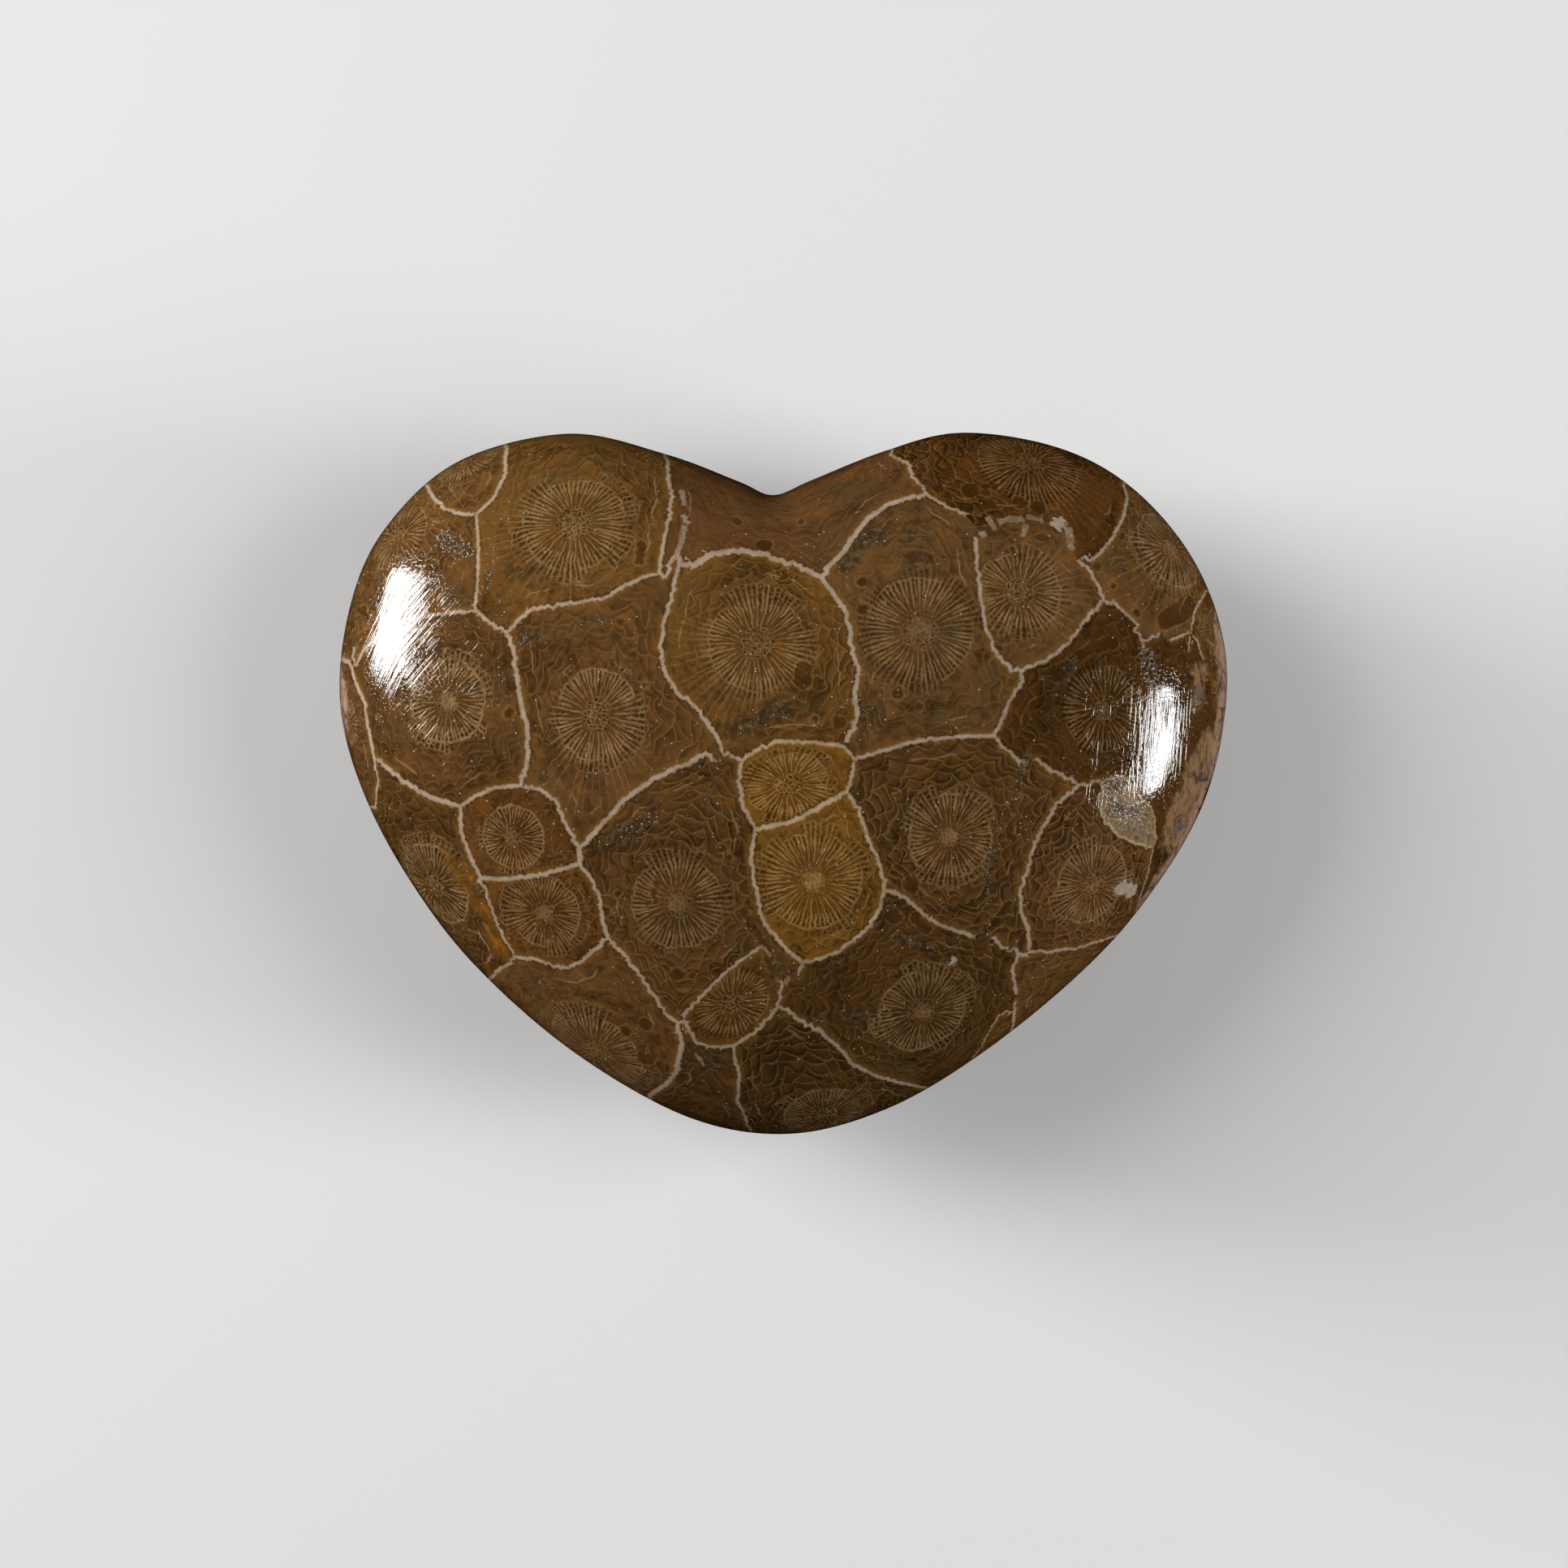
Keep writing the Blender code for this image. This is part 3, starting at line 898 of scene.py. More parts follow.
    def read_marks(self, vertices: Array) -> Array:
        """How deep each vertex lies in the marks of each kind.

        Args:
            vertices: Places of the vertices, in millimetres.

        Returns:
            For each vertex one depth for each kind, in millimetres, below 0 outside.
        """
        depth = np.full((len(vertices), len(MarkKind)), -self.mark_reach)
        for kind, marks in MARKS.items():
            column = depth[:, kind.value]
            for mark in marks:
                points = self.along(np.array(mark.line, float))
                middle = points.mean(axis=0)
                half = mark.half * MM_PER_PX
                spread = length(points - middle).max() + half + self.mark_reach
                close = np.flatnonzero(length(vertices - middle) < spread)
                apart = length(vertices[close][:, None] - points[None]).min(axis=1)
                column[close] = np.maximum(column[close], half - apart)
        return depth


Value = "Signal | float"  # what an input for a number takes
Colour = "Signal | tuple"  # what an input for a colour or a vector takes


def add(tree: bpy.types.NodeTree, kind: str, *values: object, out: int | str = 0,
        **settings: object) -> "Signal":
    """Adds a node to a material.

    Args:
        tree: The material's node tree.
        kind: The node's type, as it follows ShaderNode in Blender's name.
        values: What goes into its inputs in turn, or None to leave one as it is.
        out: The output that is wanted.
        settings: The node's own choices.

    Returns:
        What comes out of it.
    """
    node = tree.nodes.new("ShaderNode" + kind)
    for name, choice in settings.items():
        setattr(node, name, choice)
    for entry, value in zip(node.inputs, values):
        if isinstance(value, Signal):
            tree.links.new(value.socket, entry)
        elif value is not None:
            entry.default_value = value
    return Signal(tree, node.outputs[out])


def set_inputs(node: bpy.types.Node, values: dict[str, object]) -> None:
    """Sets inputs of a node by their names."""
    for name, value in values.items():
        node.inputs[name].default_value = value


@dataclass(frozen=True)
class Signal:
    """A value that runs between a material's nodes, with arithmetic that adds the nodes."""

    tree: bpy.types.NodeTree
    socket: bpy.types.NodeSocket

    def math(self, operation: str, *others: Value) -> "Signal":
        """What a Math node makes of this value and others."""
        return add(self.tree, "Math", self, *others, operation=operation)

    def __add__(self, other: Value) -> "Signal":
        """The sum."""
        return self.math("ADD", other)

    __radd__ = __add__

    def __sub__(self, other: Value) -> "Signal":
        """The difference."""
        return self.math("SUBTRACT", other)

    def __rsub__(self, other: float) -> "Signal":
        """A number less this value."""
        return (self * -1.0) + other

    def __mul__(self, other: Value) -> "Signal":
        """The product."""
        return self.math("MULTIPLY", other)

    __rmul__ = __mul__

    def __truediv__(self, other: Value) -> "Signal":
        """The quotient."""
        return self.math("DIVIDE", other)

    def __abs__(self) -> "Signal":
        """The value without its sign."""
        return self.math("ABSOLUTE")

    def floor(self) -> "Signal":
        """The whole number below the value."""
        return self.math("FLOOR")

    def fract(self) -> "Signal":
        """What the value has over that whole number."""
        return self.math("FRACT")

    def number_of(self, count: Value) -> "Signal":
        """The number of the whole step that the value is in, where count steps close a round."""
        return (self.floor() + count).math("MODULO", count)

    def most(self, other: Value) -> "Signal":
        """The larger of the two."""
        return self.math("MAXIMUM", other)

    def least(self, other: Value) -> "Signal":
        """The smaller of the two."""
        return self.math("MINIMUM", other)

    def above(self, other: Value) -> "Signal":
        """1 where the value is the larger one, else 0."""
        return self.math("GREATER_THAN", other)

    def choose(self, yes: Value, no: Value) -> "Signal":
        """The first of two values where this one is 1, the second where it is 0."""
        return self * (yes - no) + no

    def rising(self, low: Value, high: Value) -> "Signal":
        """A smooth step from 0 at low to 1 at high, which falls if high is the lower one."""
        return add(self.tree, "MapRange", self, low, high, 0.0, 1.0, interpolation_type="SMOOTHSTEP")

    def parts(self) -> tuple["Signal", "Signal", "Signal"]:
        """The three parts of a vector."""
        node = add(self.tree, "SeparateXYZ", self).socket.node
        return tuple(Signal(self.tree, out) for out in node.outputs)


@dataclass
class Drawing:
    """Short ways to add the nodes that a pattern is drawn with.

    Args:
        tree: The material's node tree.
    """

    tree: bpy.types.NodeTree

    def attribute(self, name: str) -> Signal:
        """A vector attribute of the mesh."""
        return add(self.tree, "Attribute", out="Vector", attribute_name=name)

    def object_places(self) -> Signal:
        """Object coordinates in millimetres."""
        metres = add(self.tree, "TexCoord", out="Object")
        return add(self.tree, "VectorMath", metres, None, None, 1 / MM, operation="SCALE")

    def vector(self, x: Value, y: Value, z: Value) -> Signal:
        """A vector from three values."""
        return add(self.tree, "CombineXYZ", x, y, z)

    def combined(self, operation: str, first: Signal, second: Colour) -> Signal:
        """What a Vector Math node makes of two vectors."""
        return add(self.tree, "VectorMath", first, second, operation=operation)

    def noise(self, vector: Signal, scale: float, detail: float = 1.0, rough: float = 0.5,
              out: int = 0) -> Signal:
        """Soft noise about 0.5, with detail finer layers that are rough times as strong each."""
        return add(self.tree, "TexNoise", vector, None, scale, detail, rough, out=out)

    def drift(self, vector: Signal, scale: float, detail: float) -> tuple[Signal, Signal, Signal]:
        """Three values of noise from about -0.5 to 0.5."""
        return self.combined("SUBTRACT", self.noise(vector, scale, detail, out=1), (0.5,) * 3).parts()

    def cells(self, vector: Signal, scale: float, feature: str = "F1", out: str = "Distance",
              flat: bool = False) -> Signal:
        """One output of a Voronoi Texture node, in x and y alone if flat."""
        return add(self.tree, "TexVoronoi", vector, None, scale, out=out, feature=feature,
                   voronoi_dimensions="2D" if flat else "3D")

    def dice(self, x: Signal, y: Signal) -> tuple[Signal, Signal, Signal]:
        """Three random values from 0 to 1 for each pair of whole numbers."""
        pair = self.vector(x, y, 0.0)
        return add(self.tree, "TexWhiteNoise", pair, out="Color", noise_dimensions="2D").parts()

    def mixed(self, first: Colour, second: Colour, share: Value, blend: str = "MIX") -> Signal:
        """A colour between two, or what another way of blending makes of them."""
        return add(self.tree, "Mix", share, *[None] * 5, first, second, out=2, data_type="RGBA",
                   blend_type=blend, clamp_factor=True)

    def dimmed(self, colour: Signal, share: Value) -> Signal:
        """A colour with only a share of its brightness."""
        return self.mixed((0, 0, 0, 1), colour, share)

    def bump(self, height: Signal, depth: float) -> Signal:
        """The normal of a surface as rough as height says, where 1 stands for depth in metres."""
        return add(self.tree, "Bump", 1.0, depth, None, height)

    def join(self, value: Signal, node: bpy.types.Node, name: str) -> None:
        """Links a value to a node's input."""
        self.tree.links.new(value.socket, node.inputs[name])


@dataclass(frozen=True)
class BubbleRow:
    """One row of bubbles between a wall and the disc, as a place sees it.

    Args:
        front: How far in the skin of the bubble beside the place reaches, counted in rows.
        steep: How much farther off the skin seems when it is measured straight across the row.
        shade: Random for each bubble.
        fill: Random for each bubble.
    """

    front: Signal
    steep: Signal
    shade: Signal
    fill: Signal


@dataclass(frozen=True)
class PolishedCoral:
    """Finish of the stone: polished brown calcite with the coral in it, by its colours.

    Args:
        septum_half: Half of a septum's width, in millimetres.
        bar_step: Distance between the bars of the lace, in millimetres.
        rim: Where the inner ring of the lace lies, as a share of the disc's radius.
        outer_rim: Where the outer one lies.
        web: Holes of the web in the middle, for each millimetre.
        bubble_row: Depth of a row of bubbles, in millimetres.
        growth: Distance of the fine growth line from its wall, in millimetres.
        grains: Grains for each millimetre, among which the painted glints are picked.
        scratch_depth: Depth of the scratches, in millimetres.
    """

    dark: tuple = (0.038, 0.016, 0.0037, 1)
    brown: tuple = (0.100, 0.046, 0.0135, 1)
    warm: tuple = (0.150, 0.061, 0.0135, 1)
    olive: tuple = (0.072, 0.044, 0.016, 1)
    fine_line: tuple = (0.222, 0.132, 0.055, 1)
    bubble_line: tuple = (0.205, 0.104, 0.030, 1)
    wall_dull: tuple = (0.160, 0.105, 0.060, 1)
    wall_pale: tuple = (0.310, 0.235, 0.165, 1)
    wall_glow: tuple = (0.135, 0.062, 0.012, 1)
    crystal_dark: tuple = (0.019, 0.012, 0.0048, 1)
    crystal_light: tuple = (0.085, 0.058, 0.029, 1)
    rind_gold: tuple = (0.205, 0.118, 0.054, 1)
    rind_grey: tuple = (0.115, 0.084, 0.066, 1)
    rind_pink: tuple = (0.305, 0.195, 0.140, 1)
    amber: tuple = (0.095, 0.042, 0.007, 1)
    rust: tuple = (0.190, 0.062, 0.006, 1)
    pale: tuple = (0.330, 0.275, 0.210, 1)
    # painted highlight: the colour of the glints, light off crystal grains painted as pale specks
    glint: tuple = (0.520, 0.480, 0.420, 1)
    septum_half: float = 0.078
    bar_step: float = 0.36
    rim: float = 0.95
    outer_rim: float = 1.19
    web: float = 2.9
    bubble_row: float = 0.56
    growth: float = 1.3
    grains: float = 5.2
    scratch_depth: float = 0.03
    roughness: float = 0.45
    specular: float = 0.0
    coat_roughness: float = 0.045

    def material(self) -> bpy.types.Material:
        """Draws the coral layer by layer and gives it its polish.

        Returns:
            The stone's material.
        """
        made = bpy.data.materials.new("polished_coral")
        made.use_nodes = True
        shader = made.node_tree.nodes["Principled BSDF"]
        drawing = CoralDrawing(made.node_tree, self)
        filled = drawing.draw_bubbles()
        drawing.draw_disc()
        drawing.draw_large_bubbles()
        in_crystal = drawing.draw_crystals()
        drawing.draw_rust()
        drawing.draw_rind()
        drawing.draw_walls()
        drawing.draw_crumbs()
        # painted glints: pale specks for light flashing off crystal grains, thick in crystal pockets
        # and filled bubbles
        drawing.draw_painted_glints(in_crystal.most(filled * 0.6))
        drawing.join(drawing.colour, shader, "Base Color")
        drawing.join(drawing.polish(), shader, "Coat Normal")
        set_inputs(shader, {
            "Roughness": self.roughness,
            "Specular IOR Level": self.specular,
            "Coat Weight": 1.0,
            "Coat Roughness": self.coat_roughness,
        })
        return made


class CoralDrawing(Drawing):
    """Draws the coral on the stone, one layer over the other. Lengths are in millimetres."""

    def __init__(self, tree: bpy.types.NodeTree, look: PolishedCoral) -> None:
        """Reads the mesh's attributes, bends the corallites a little and draws the ground.

        Args:
            tree: The material's node tree.
            look: The stone's colours and fine sizes.
        """
        super().__init__(tree)
        self.look = look
        self.places = self.object_places()
        # Wide and fine noise about 0, three values of each.
        self.slow = self.drift(self.places, 0.42, 2.0)
        self.quick = self.drift(self.places, 2.1, 1.0)
        # Distance to the nearest wall, below 0 on one of its sides, then 1 where the wall
        # stands and 0 in its gaps, half of its width, and the nearest place on it.
        self.wall, self.strength, self.half = self.attribute("wall").parts()
        self.foot = self.attribute("foot")
        # How far beside a loose piece of wall, how far past its ends, and half of its width.
        self.loose = self.attribute("loose").parts()
        # The corallite's colour, its count of septa, a random value, how solid its middle is,
        # how bright its lace is and how plainly its bubbles show.
        self.tone = self.attribute("tone")
        self.septa, self.chance, self.core = self.attribute("cup").parts()
        self.ring, self.bubbles, fan = self.attribute("make").parts()
        # Depth in the marks of each kind.
        self.crystal, self.rind, self.rust = self.attribute("marks").parts()
        self.pale, self.hollow, _ = self.attribute("spots").parts()
        # Radius of the disc, distance from its middle and direction from it, from 0 to 1.
        u, v, self.disc = self.attribute("polar").parts()
        u = u + self.slow[0] * 0.5 + self.quick[0] * 0.05
        v = v + self.slow[1] * 0.5 + self.quick[1] * 0.05
        self.radius = (u * u + v * v).math("SQRT")
        self.turns = v.math("ARCTAN2", u) / FULL_TURN + 0.5
        # 1 where the septa run on past the disc.
        facing = ((self.turns - fan) * FULL_TURN).math("COSINE")
        self.lean = facing.rising(0.35, 0.8) * fan.rising(-0.6, -0.2)
        self.colour = self.ground()

    def share(self) -> Signal:
        """Distance from the middle over the disc's radius."""
        return self.radius / self.disc

    def beyond(self) -> Signal:
        """1 outside the disc and 0 in it."""
        return self.share().rising(1.03, 1.13)

    def mottle(self, scale: float, detail: float = 1.0, rough: float = 0.5) -> Signal:
        """Soft noise all over the stone, with so many waves to a millimetre."""
        return self.noise(self.places, scale, detail, rough)

    def toned(self, colour: Colour, share: float) -> Signal:
        """A colour that takes a share of the corallite's own."""
        return self.mixed(colour, self.tone, share, "MULTIPLY")

    def cover(self, colour: Colour, share: Value) -> None:
        """Lays a colour over a share of what is drawn so far."""
        self.colour = self.mixed(self.colour, colour, share)

    def dim(self, share: Value) -> None:
        """Leaves what is drawn so far only a share of its brightness."""
        self.colour = self.dimmed(self.colour, share)

    def ground(self) -> Signal:
        """The mottled brown stone that the coral lies in.

        Returns:
            Its colour.
        """
        look = self.look
        wide = self.mottle(0.16, 3.0).rising(0.1, 0.48)
        warm = self.mottle(0.55, 3.0).rising(0.48, 0.78)
        moved = self.combined("ADD", self.places, (40.0, 0.0, 0.0))
        cool = self.noise(moved, 0.3, 3.0).rising(0.5, 0.7)
        fine = self.mottle(1.3, 4.0, 0.68).rising(0.36, 0.64)
        around = self.turns * self.septa * 0.9
        fibre_place = self.vector(around, self.radius * 0.8, self.chance * 40.0)
        fibre = self.noise(fibre_place, 1.0, 2.0, 0.6).rising(0.36, 0.64) - 0.5
        fibre = fibre * self.share().rising(0.85, 1.15) * self.share().rising(3.2, 1.5)
        angle = self.turns * FULL_TURN
        sine = angle.math("SINE") * 0.7 + self.chance * 40.0
        terrace_place = self.vector(self.radius * 0.55, angle.math("COSINE") * 0.7, sine)
        terrace = self.noise(terrace_place, 1.0, 2.0, 0.55).rising(0.38, 0.62) - 0.5
        terrace = terrace * self.share().rising(0.9, 1.1)
        colour = self.mixed(look.dark, look.brown, wide)
        colour = self.mixed(colour, look.warm, warm * 0.8)
        colour = self.mixed(colour, look.olive, cool * 0.6)
        bright = fine * 0.36 + fibre * 0.3 + terrace * 0.42 + 0.73
        return self.toned(self.dimmed(colour, bright * (self.beyond() * 0.14 + 0.86)), 1.0)

    def bubble_row(self, number: Signal) -> BubbleRow:
        """Works out the bubble of a row that a place is beside.

        Args:
            number: The row's whole number.

        Returns:
            That bubble's values.
        """
        size, shift, _ = self.dice(number, self.chance * 91.0)
        inwards = number - (self.chance * 37.0).floor()
        count = (size * 6.0 - inwards * 2.1 + 17.0).most(10.0).floor()
        place = self.turns * count + shift * 9.0 + self.slow[2] * 1.1 + self.quick[2] * 0.08
        bubble = place.number_of(count)
        bulge, shade, fill = self.dice(bubble + number * 57.0, self.chance * 53.0)
        aside = place.fract() - 0.5
        height = bulge * 0.7 + 0.65
        front = number + 0.1 + height * (1.0 - aside * aside * 4.0)
        slope = height * aside * 8.0 * (count * self.look.bubble_row / FULL_TURN / self.radius)
        return BubbleRow(front, (slope * slope + 1.0).math("SQRT"), shade, fill)

    def draw_bubbles(self) -> Signal:
        """Bubbles in rows between wall and disc, bulging inwards, each on the row behind it.

        Returns:
            Where a bubble is filled with crystals.
        """
        look = self.look
        inwards = abs(self.wall) * 0.5 + (self.disc - self.radius) * 0.5
        depth = inwards / look.bubble_row + self.slow[0] * 1.2 + self.quick[0] * 0.1
        depth = depth + self.chance * 37.0
        base = depth.floor()
        behind, here, ahead = (self.bubble_row(base + k) for k in (-1.0, 0.0, 1.0))
        in_behind, in_here = behind.front.above(depth), here.front.above(depth)
        skin = abs(depth - behind.front) / behind.steep
        skin = skin.least(abs(depth - here.front) / here.steep + in_behind * 9.0)
        skin = skin * look.bubble_row
        front, shade, fill = (
            in_behind.choose(getattr(behind, name), in_here.choose(getattr(here, name),
                                                                   getattr(ahead, name)))
            for name in ("front", "shade", "fill"))

        plain = self.mottle(0.23).rising(0.36, 0.56)
        plain = (plain * 0.5 + 0.5).most(self.bubbles * 0.9 - 0.05)
        show = self.beyond() * (self.bubbles * 0.8 + 0.2) * plain * (1.0 - self.lean * 0.75)
        hollow = (front - depth).rising(1.0, 0.2) * (shade * 0.55 + 0.4)
        self.dim(0.98 - show * (hollow * 0.7 + 0.05))
        line = skin.rising(0.085, 0.025) * self.mottle(0.9).rising(0.2, 0.55)
        self.cover(self.toned(look.bubble_line, 0.8), line * show * 0.62)
        filled = fill.rising(0.93, 0.94) * show * skin.rising(0.03, 0.16)
        self.cover(look.crystal_dark, filled * 0.55)
        return filled

    def draw_disc(self) -> None:
        """The disc: spokes long and short in turn, holes between them, rings and the middle."""
        look = self.look
        share = self.share()
        spoke = self.turns * self.septa + self.quick[2] * 0.55
        spacing = self.radius * FULL_TURN / self.septa
        number = spoke.number_of(self.septa)
        first, second, third = self.dice(number, self.chance * 91.0)
        aside = abs(spoke.fract() - 0.5 + (first - 0.5) * 0.34)
        across = aside * spacing
        rough = self.mottle(3.6) - 0.5
        ragged = self.mottle(2.8, 3.0, 0.7) - 0.5
        width = (spacing * 0.27).least(look.septum_half) * (third * 0.6 + 0.66)
        width = width * share.rising(1.7, 0.9).most(0.45) + rough * 0.07
        start = number.math("MODULO", 2.0) * 0.28 + second * 0.2 + 0.24
        broken = self.noise(self.vector(number * 7.3, self.radius * 1.1, self.chance), 1.0)
        line = (across - width).rising(0.045, -0.035) * share.rising(start, start + 0.1)
        line = line * (broken.rising(0.3, 0.55) * 0.45 + 0.55)
        reach = third * (self.lean * 0.8 + 0.14) + self.lean * 0.4 + 0.86
        faint = share.rising(2.0, 1.1) * 0.1
        strong = share.rising(1.25, 0.95) * 0.42 + 0.53
        spokes = line * (share.rising(reach + 0.1 + self.lean * 0.3, reach) * strong).most(faint)

        lace_there = self.mottle(0.3, 0.0)
        rim_there = (lace_there + self.ring * 0.2).rising(0.5, 0.66)
        outer_there = (0.98 - lace_there).rising(0.42, 0.52) * self.ring.rising(0.2, 0.6)
        edge = outer_there * 0.24 + 1.02
        gap = (spoke + 0.5).number_of(self.septa)
        stagger, deep, _ = self.dice(gap, self.chance * 37.0)
        rows = self.radius / look.bar_step + stagger + rough
        bar_there, _, _ = self.dice((rows + 0.5).floor(), gap + self.chance * 13.0)
        from_bar = (0.5 - abs(rows.fract() - 0.5)) * look.bar_step
        bar = from_bar.rising(0.085, 0.02) * (bar_there + self.beyond() * 0.3).rising(0.35, 0.75)
        window = share.rising(0.6, 0.85) * share.rising(edge + 0.06, edge)
        inner = share.rising(0.2, 0.4) * share.rising(1.05, 0.98) * 0.75
        hole = (across - width).rising(0.0, 0.07) * (1.0 - bar * 0.6)
        hole = hole * (window * (deep * 0.5 + 0.5)).most(inner)
        self.dim(1.0 - hole * 0.62)
        bars = bar * window * (self.ring * 0.5 + 0.15)

        rim = abs((share - look.rim - aside * 0.05 - deep * 0.06) * self.disc + rough * 0.2)
        ring = (rim - self.ring * 0.07).rising(0.075, 0.0) * rim_there * (ragged * 0.7 + 0.85)
        outer = (share - look.outer_rim - aside * 0.06 - stagger * 0.08) * self.disc
        outer_ring = abs(outer + self.slow[2] * 0.7).rising(0.1, 0.03) * outer_there * 0.6
        teeth = line * share.rising(0.98, 1.04) * share.rising(1.27, 1.2) * outer_there * 0.75

        knot = (share + ragged * 0.4).rising(0.27, 0.17) * self.core
        x, y, _ = self.places.parts()
        web_place = self.vector(x + self.quick[0] * 0.6, y + self.quick[1] * 0.6, 0.0)
        web_edge = self.cells(web_place, look.web, "DISTANCE_TO_EDGE", flat=True)
        web_dice = self.cells(web_place, look.web, out="Color", flat=True).parts()[0]
        middle = (share + ragged * 0.3).rising(0.42, 0.3)
        web = web_edge.rising(0.17, 0.04) * middle * (1.0 - self.core * 0.45)
        pit = web_edge.rising(0.08, 0.2) * middle * (1.0 - self.core * 0.7) * web_dice
        self.dim(1.0 - pit * 0.65)

        light = spokes.most(ring).most(bars).most(outer_ring).most(teeth)
        light = light.most(knot * (web_edge.rising(0.3, 0.05) * 0.55 + 0.45)).most(web * 0.85)
        light = light * (self.mottle(1.4, 3.0, 0.65).rising(0.3, 0.68) * 0.6 + 0.42)
        self.cover(self.toned(look.fine_line, 0.5), light * (self.ring * 0.32 + 0.78))

    def draw_large_bubbles(self) -> None:
        """Single large bubbles, dark and smooth, each with its thin pale skin."""
        look = self.look
        edge = self.hollow + self.slow[1] * 0.8 + self.quick[0] * 0.25
        cloud = self.mottle(0.6, 2.0).rising(0.35, 0.7)
        body = self.toned(self.mixed(look.dark, look.brown, cloud * 0.35), 0.5)
        self.cover(body, edge.rising(-0.04, 0.2) * 0.88)
        skin = abs(edge + 0.03).rising(0.11, 0.03) * self.mottle(0.7).rising(0.3, 0.6)
        self.cover(self.toned(look.bubble_line, 0.6), skin * 0.38)

    def draw_crystals(self) -> Signal:
        """Pockets of dark clear crystals.

        Returns:
            Where they are.
        """
        inside = (self.crystal + self.slow[1] * 1.6 + self.quick[0] * 0.7).rising(-0.1, 0.3)
        mottle = self.mottle(2.2, 3.0, 0.65).rising(0.4, 0.66)
        body = self.mixed(self.look.crystal_dark, self.look.crystal_light, mottle)
        self.cover(body, inside * 0.6)
        return inside

    def draw_rust(self) -> None:
        """Amber and rust between a disc and its wall, with dark cracks."""
        look = self.look
        inside = (self.rust + self.slow[0] * 1.8 + self.quick[1] * 0.6).rising(-0.25, 0.4)
        uneven = self.mottle(1.0, 3.0, 0.65)
        body = self.mixed(look.amber, look.rust, uneven.rising(0.5, 0.66))
        body = self.mixed(body, look.dark, uneven.rising(0.46, 0.32) * 0.8)
        self.cover(body, inside * 0.85)

    def draw_rind(self) -> None:
        """The weathered outside of the coral: golden brown, grey and pink, and cracked."""
        look = self.look
        x, y, z = self.places.parts()
        uneven = self.mottle(0.5, 3.0, 0.6)
        frayed = self.mottle(1.2, 3.0, 0.65) - 0.5
        outside = z.rising(17.6, 15.8)
        inside = self.rind + self.slow[0] * 3.0 + frayed * 2.4 + outside * 1.3
        body = self.mixed(look.rind_gold, look.rind_grey, uneven.rising(0.5, 0.62))
        body = self.mixed(body, look.rind_pink, outside * uneven.rising(0.7, 0.5))
        along = self.vector(x * 1.1 + self.slow[0] * 2.2, y * 0.5 + self.slow[1] * 1.5, z * 0.4)
        crack = self.cells(along, 0.7, "DISTANCE_TO_EDGE")
        grain = self.noise(self.vector(x * 2.6, y * 0.9, z * 0.9), 1.0, 3.0, 0.7)
        body = self.dimmed(body, grain.rising(0.3, 0.7) * 0.9 + 0.45)
        cracked = crack.rising(0.06, 0.015) * uneven.rising(0.4, 0.55)
        body = self.mixed(body, look.dark, cracked * 0.75)
        self.cover(body, inside.rising(-0.3, 0.6) * 0.9)

    def draw_walls(self) -> None:
        """The pale crinkled walls between corallites and the loose pieces of them."""
        look = self.look
        swing = self.noise(self.foot, 0.22).rising(0.35, 0.7) * 0.17 + 0.07
        zigzag = self.noise(self.foot, 2.3, 0.0) * 2.0 - 1.0
        width = self.noise(self.foot, 0.8) * 0.5 + 0.75
        signed = self.wall + zigzag * swing
        side_shift = self.vector(0.0, 0.0, signed.above(0.0) * 9.0)
        crinkle = self.noise(self.combined("ADD", self.foot, side_shift), 4.2) - 0.5
        crinkle = crinkle * 0.34
        off = abs(signed) - self.half * width
        stands = self.strength * self.half.rising(0.05, 0.1)
        wall = (off + crinkle).rising(0.06, -0.06) * stands

        aside, past, loose_half = self.loose
        loose_wave = (self.mottle(1.8, 0.0) - 0.5) * 0.25
        loose_off = abs(aside + loose_wave) - loose_half * width + crinkle
        loose = loose_off.rising(0.06, -0.06) * past.rising(0.12, -0.06)

        side = self.noise(self.foot, 0.3, 0.0).rising(0.45, 0.55) * 2.0 - 1.0
        on_side = (signed * side).rising(0.0, 0.1)
        glow = off.rising(0.55, 0.05) * on_side * stands * 0.55
        self.cover(self.toned(look.wall_glow, 0.5), glow)
        shadow = off.rising(0.22, 0.1) * off.rising(-0.02, 0.06) * (1.0 - on_side) * stands
        self.cover(look.dark, shadow * 0.45)

        growth = abs(abs(self.wall) + self.slow[0] * 1.3 + self.quick[0] * 0.15 - look.growth)
        growth = growth.rising(0.1, 0.03) * self.mottle(0.35).rising(0.5, 0.62)
        growth = growth * self.share().rising(1.1, 1.25) * self.strength
        self.cover(self.toned(look.fine_line, 0.7), growth * 0.6)

        uneven = self.mottle(0.9, 3.0, 0.65).rising(0.3, 0.66)
        inmost = off.rising(0.0, -0.13)
        body = self.mixed(look.wall_dull, look.wall_pale, uneven * 0.55 + inmost * 0.65 - 0.1)
        tint = self.combined("MINIMUM", self.tone, (1.4, 1.35, 1.25))
        self.cover(self.mixed(body, tint, 0.35, "MULTIPLY"), wall.most(loose) * 0.94)

    def draw_crumbs(self) -> None:
        """Pale crumbs of wall."""
        flaw = self.mottle(2.6, 3.0, 0.7) - 0.5
        inside = (self.pale + self.quick[1] * 0.5 + flaw * 0.9).rising(-0.06, 0.12)
        self.cover(self.look.pale, inside * (flaw + 0.75))

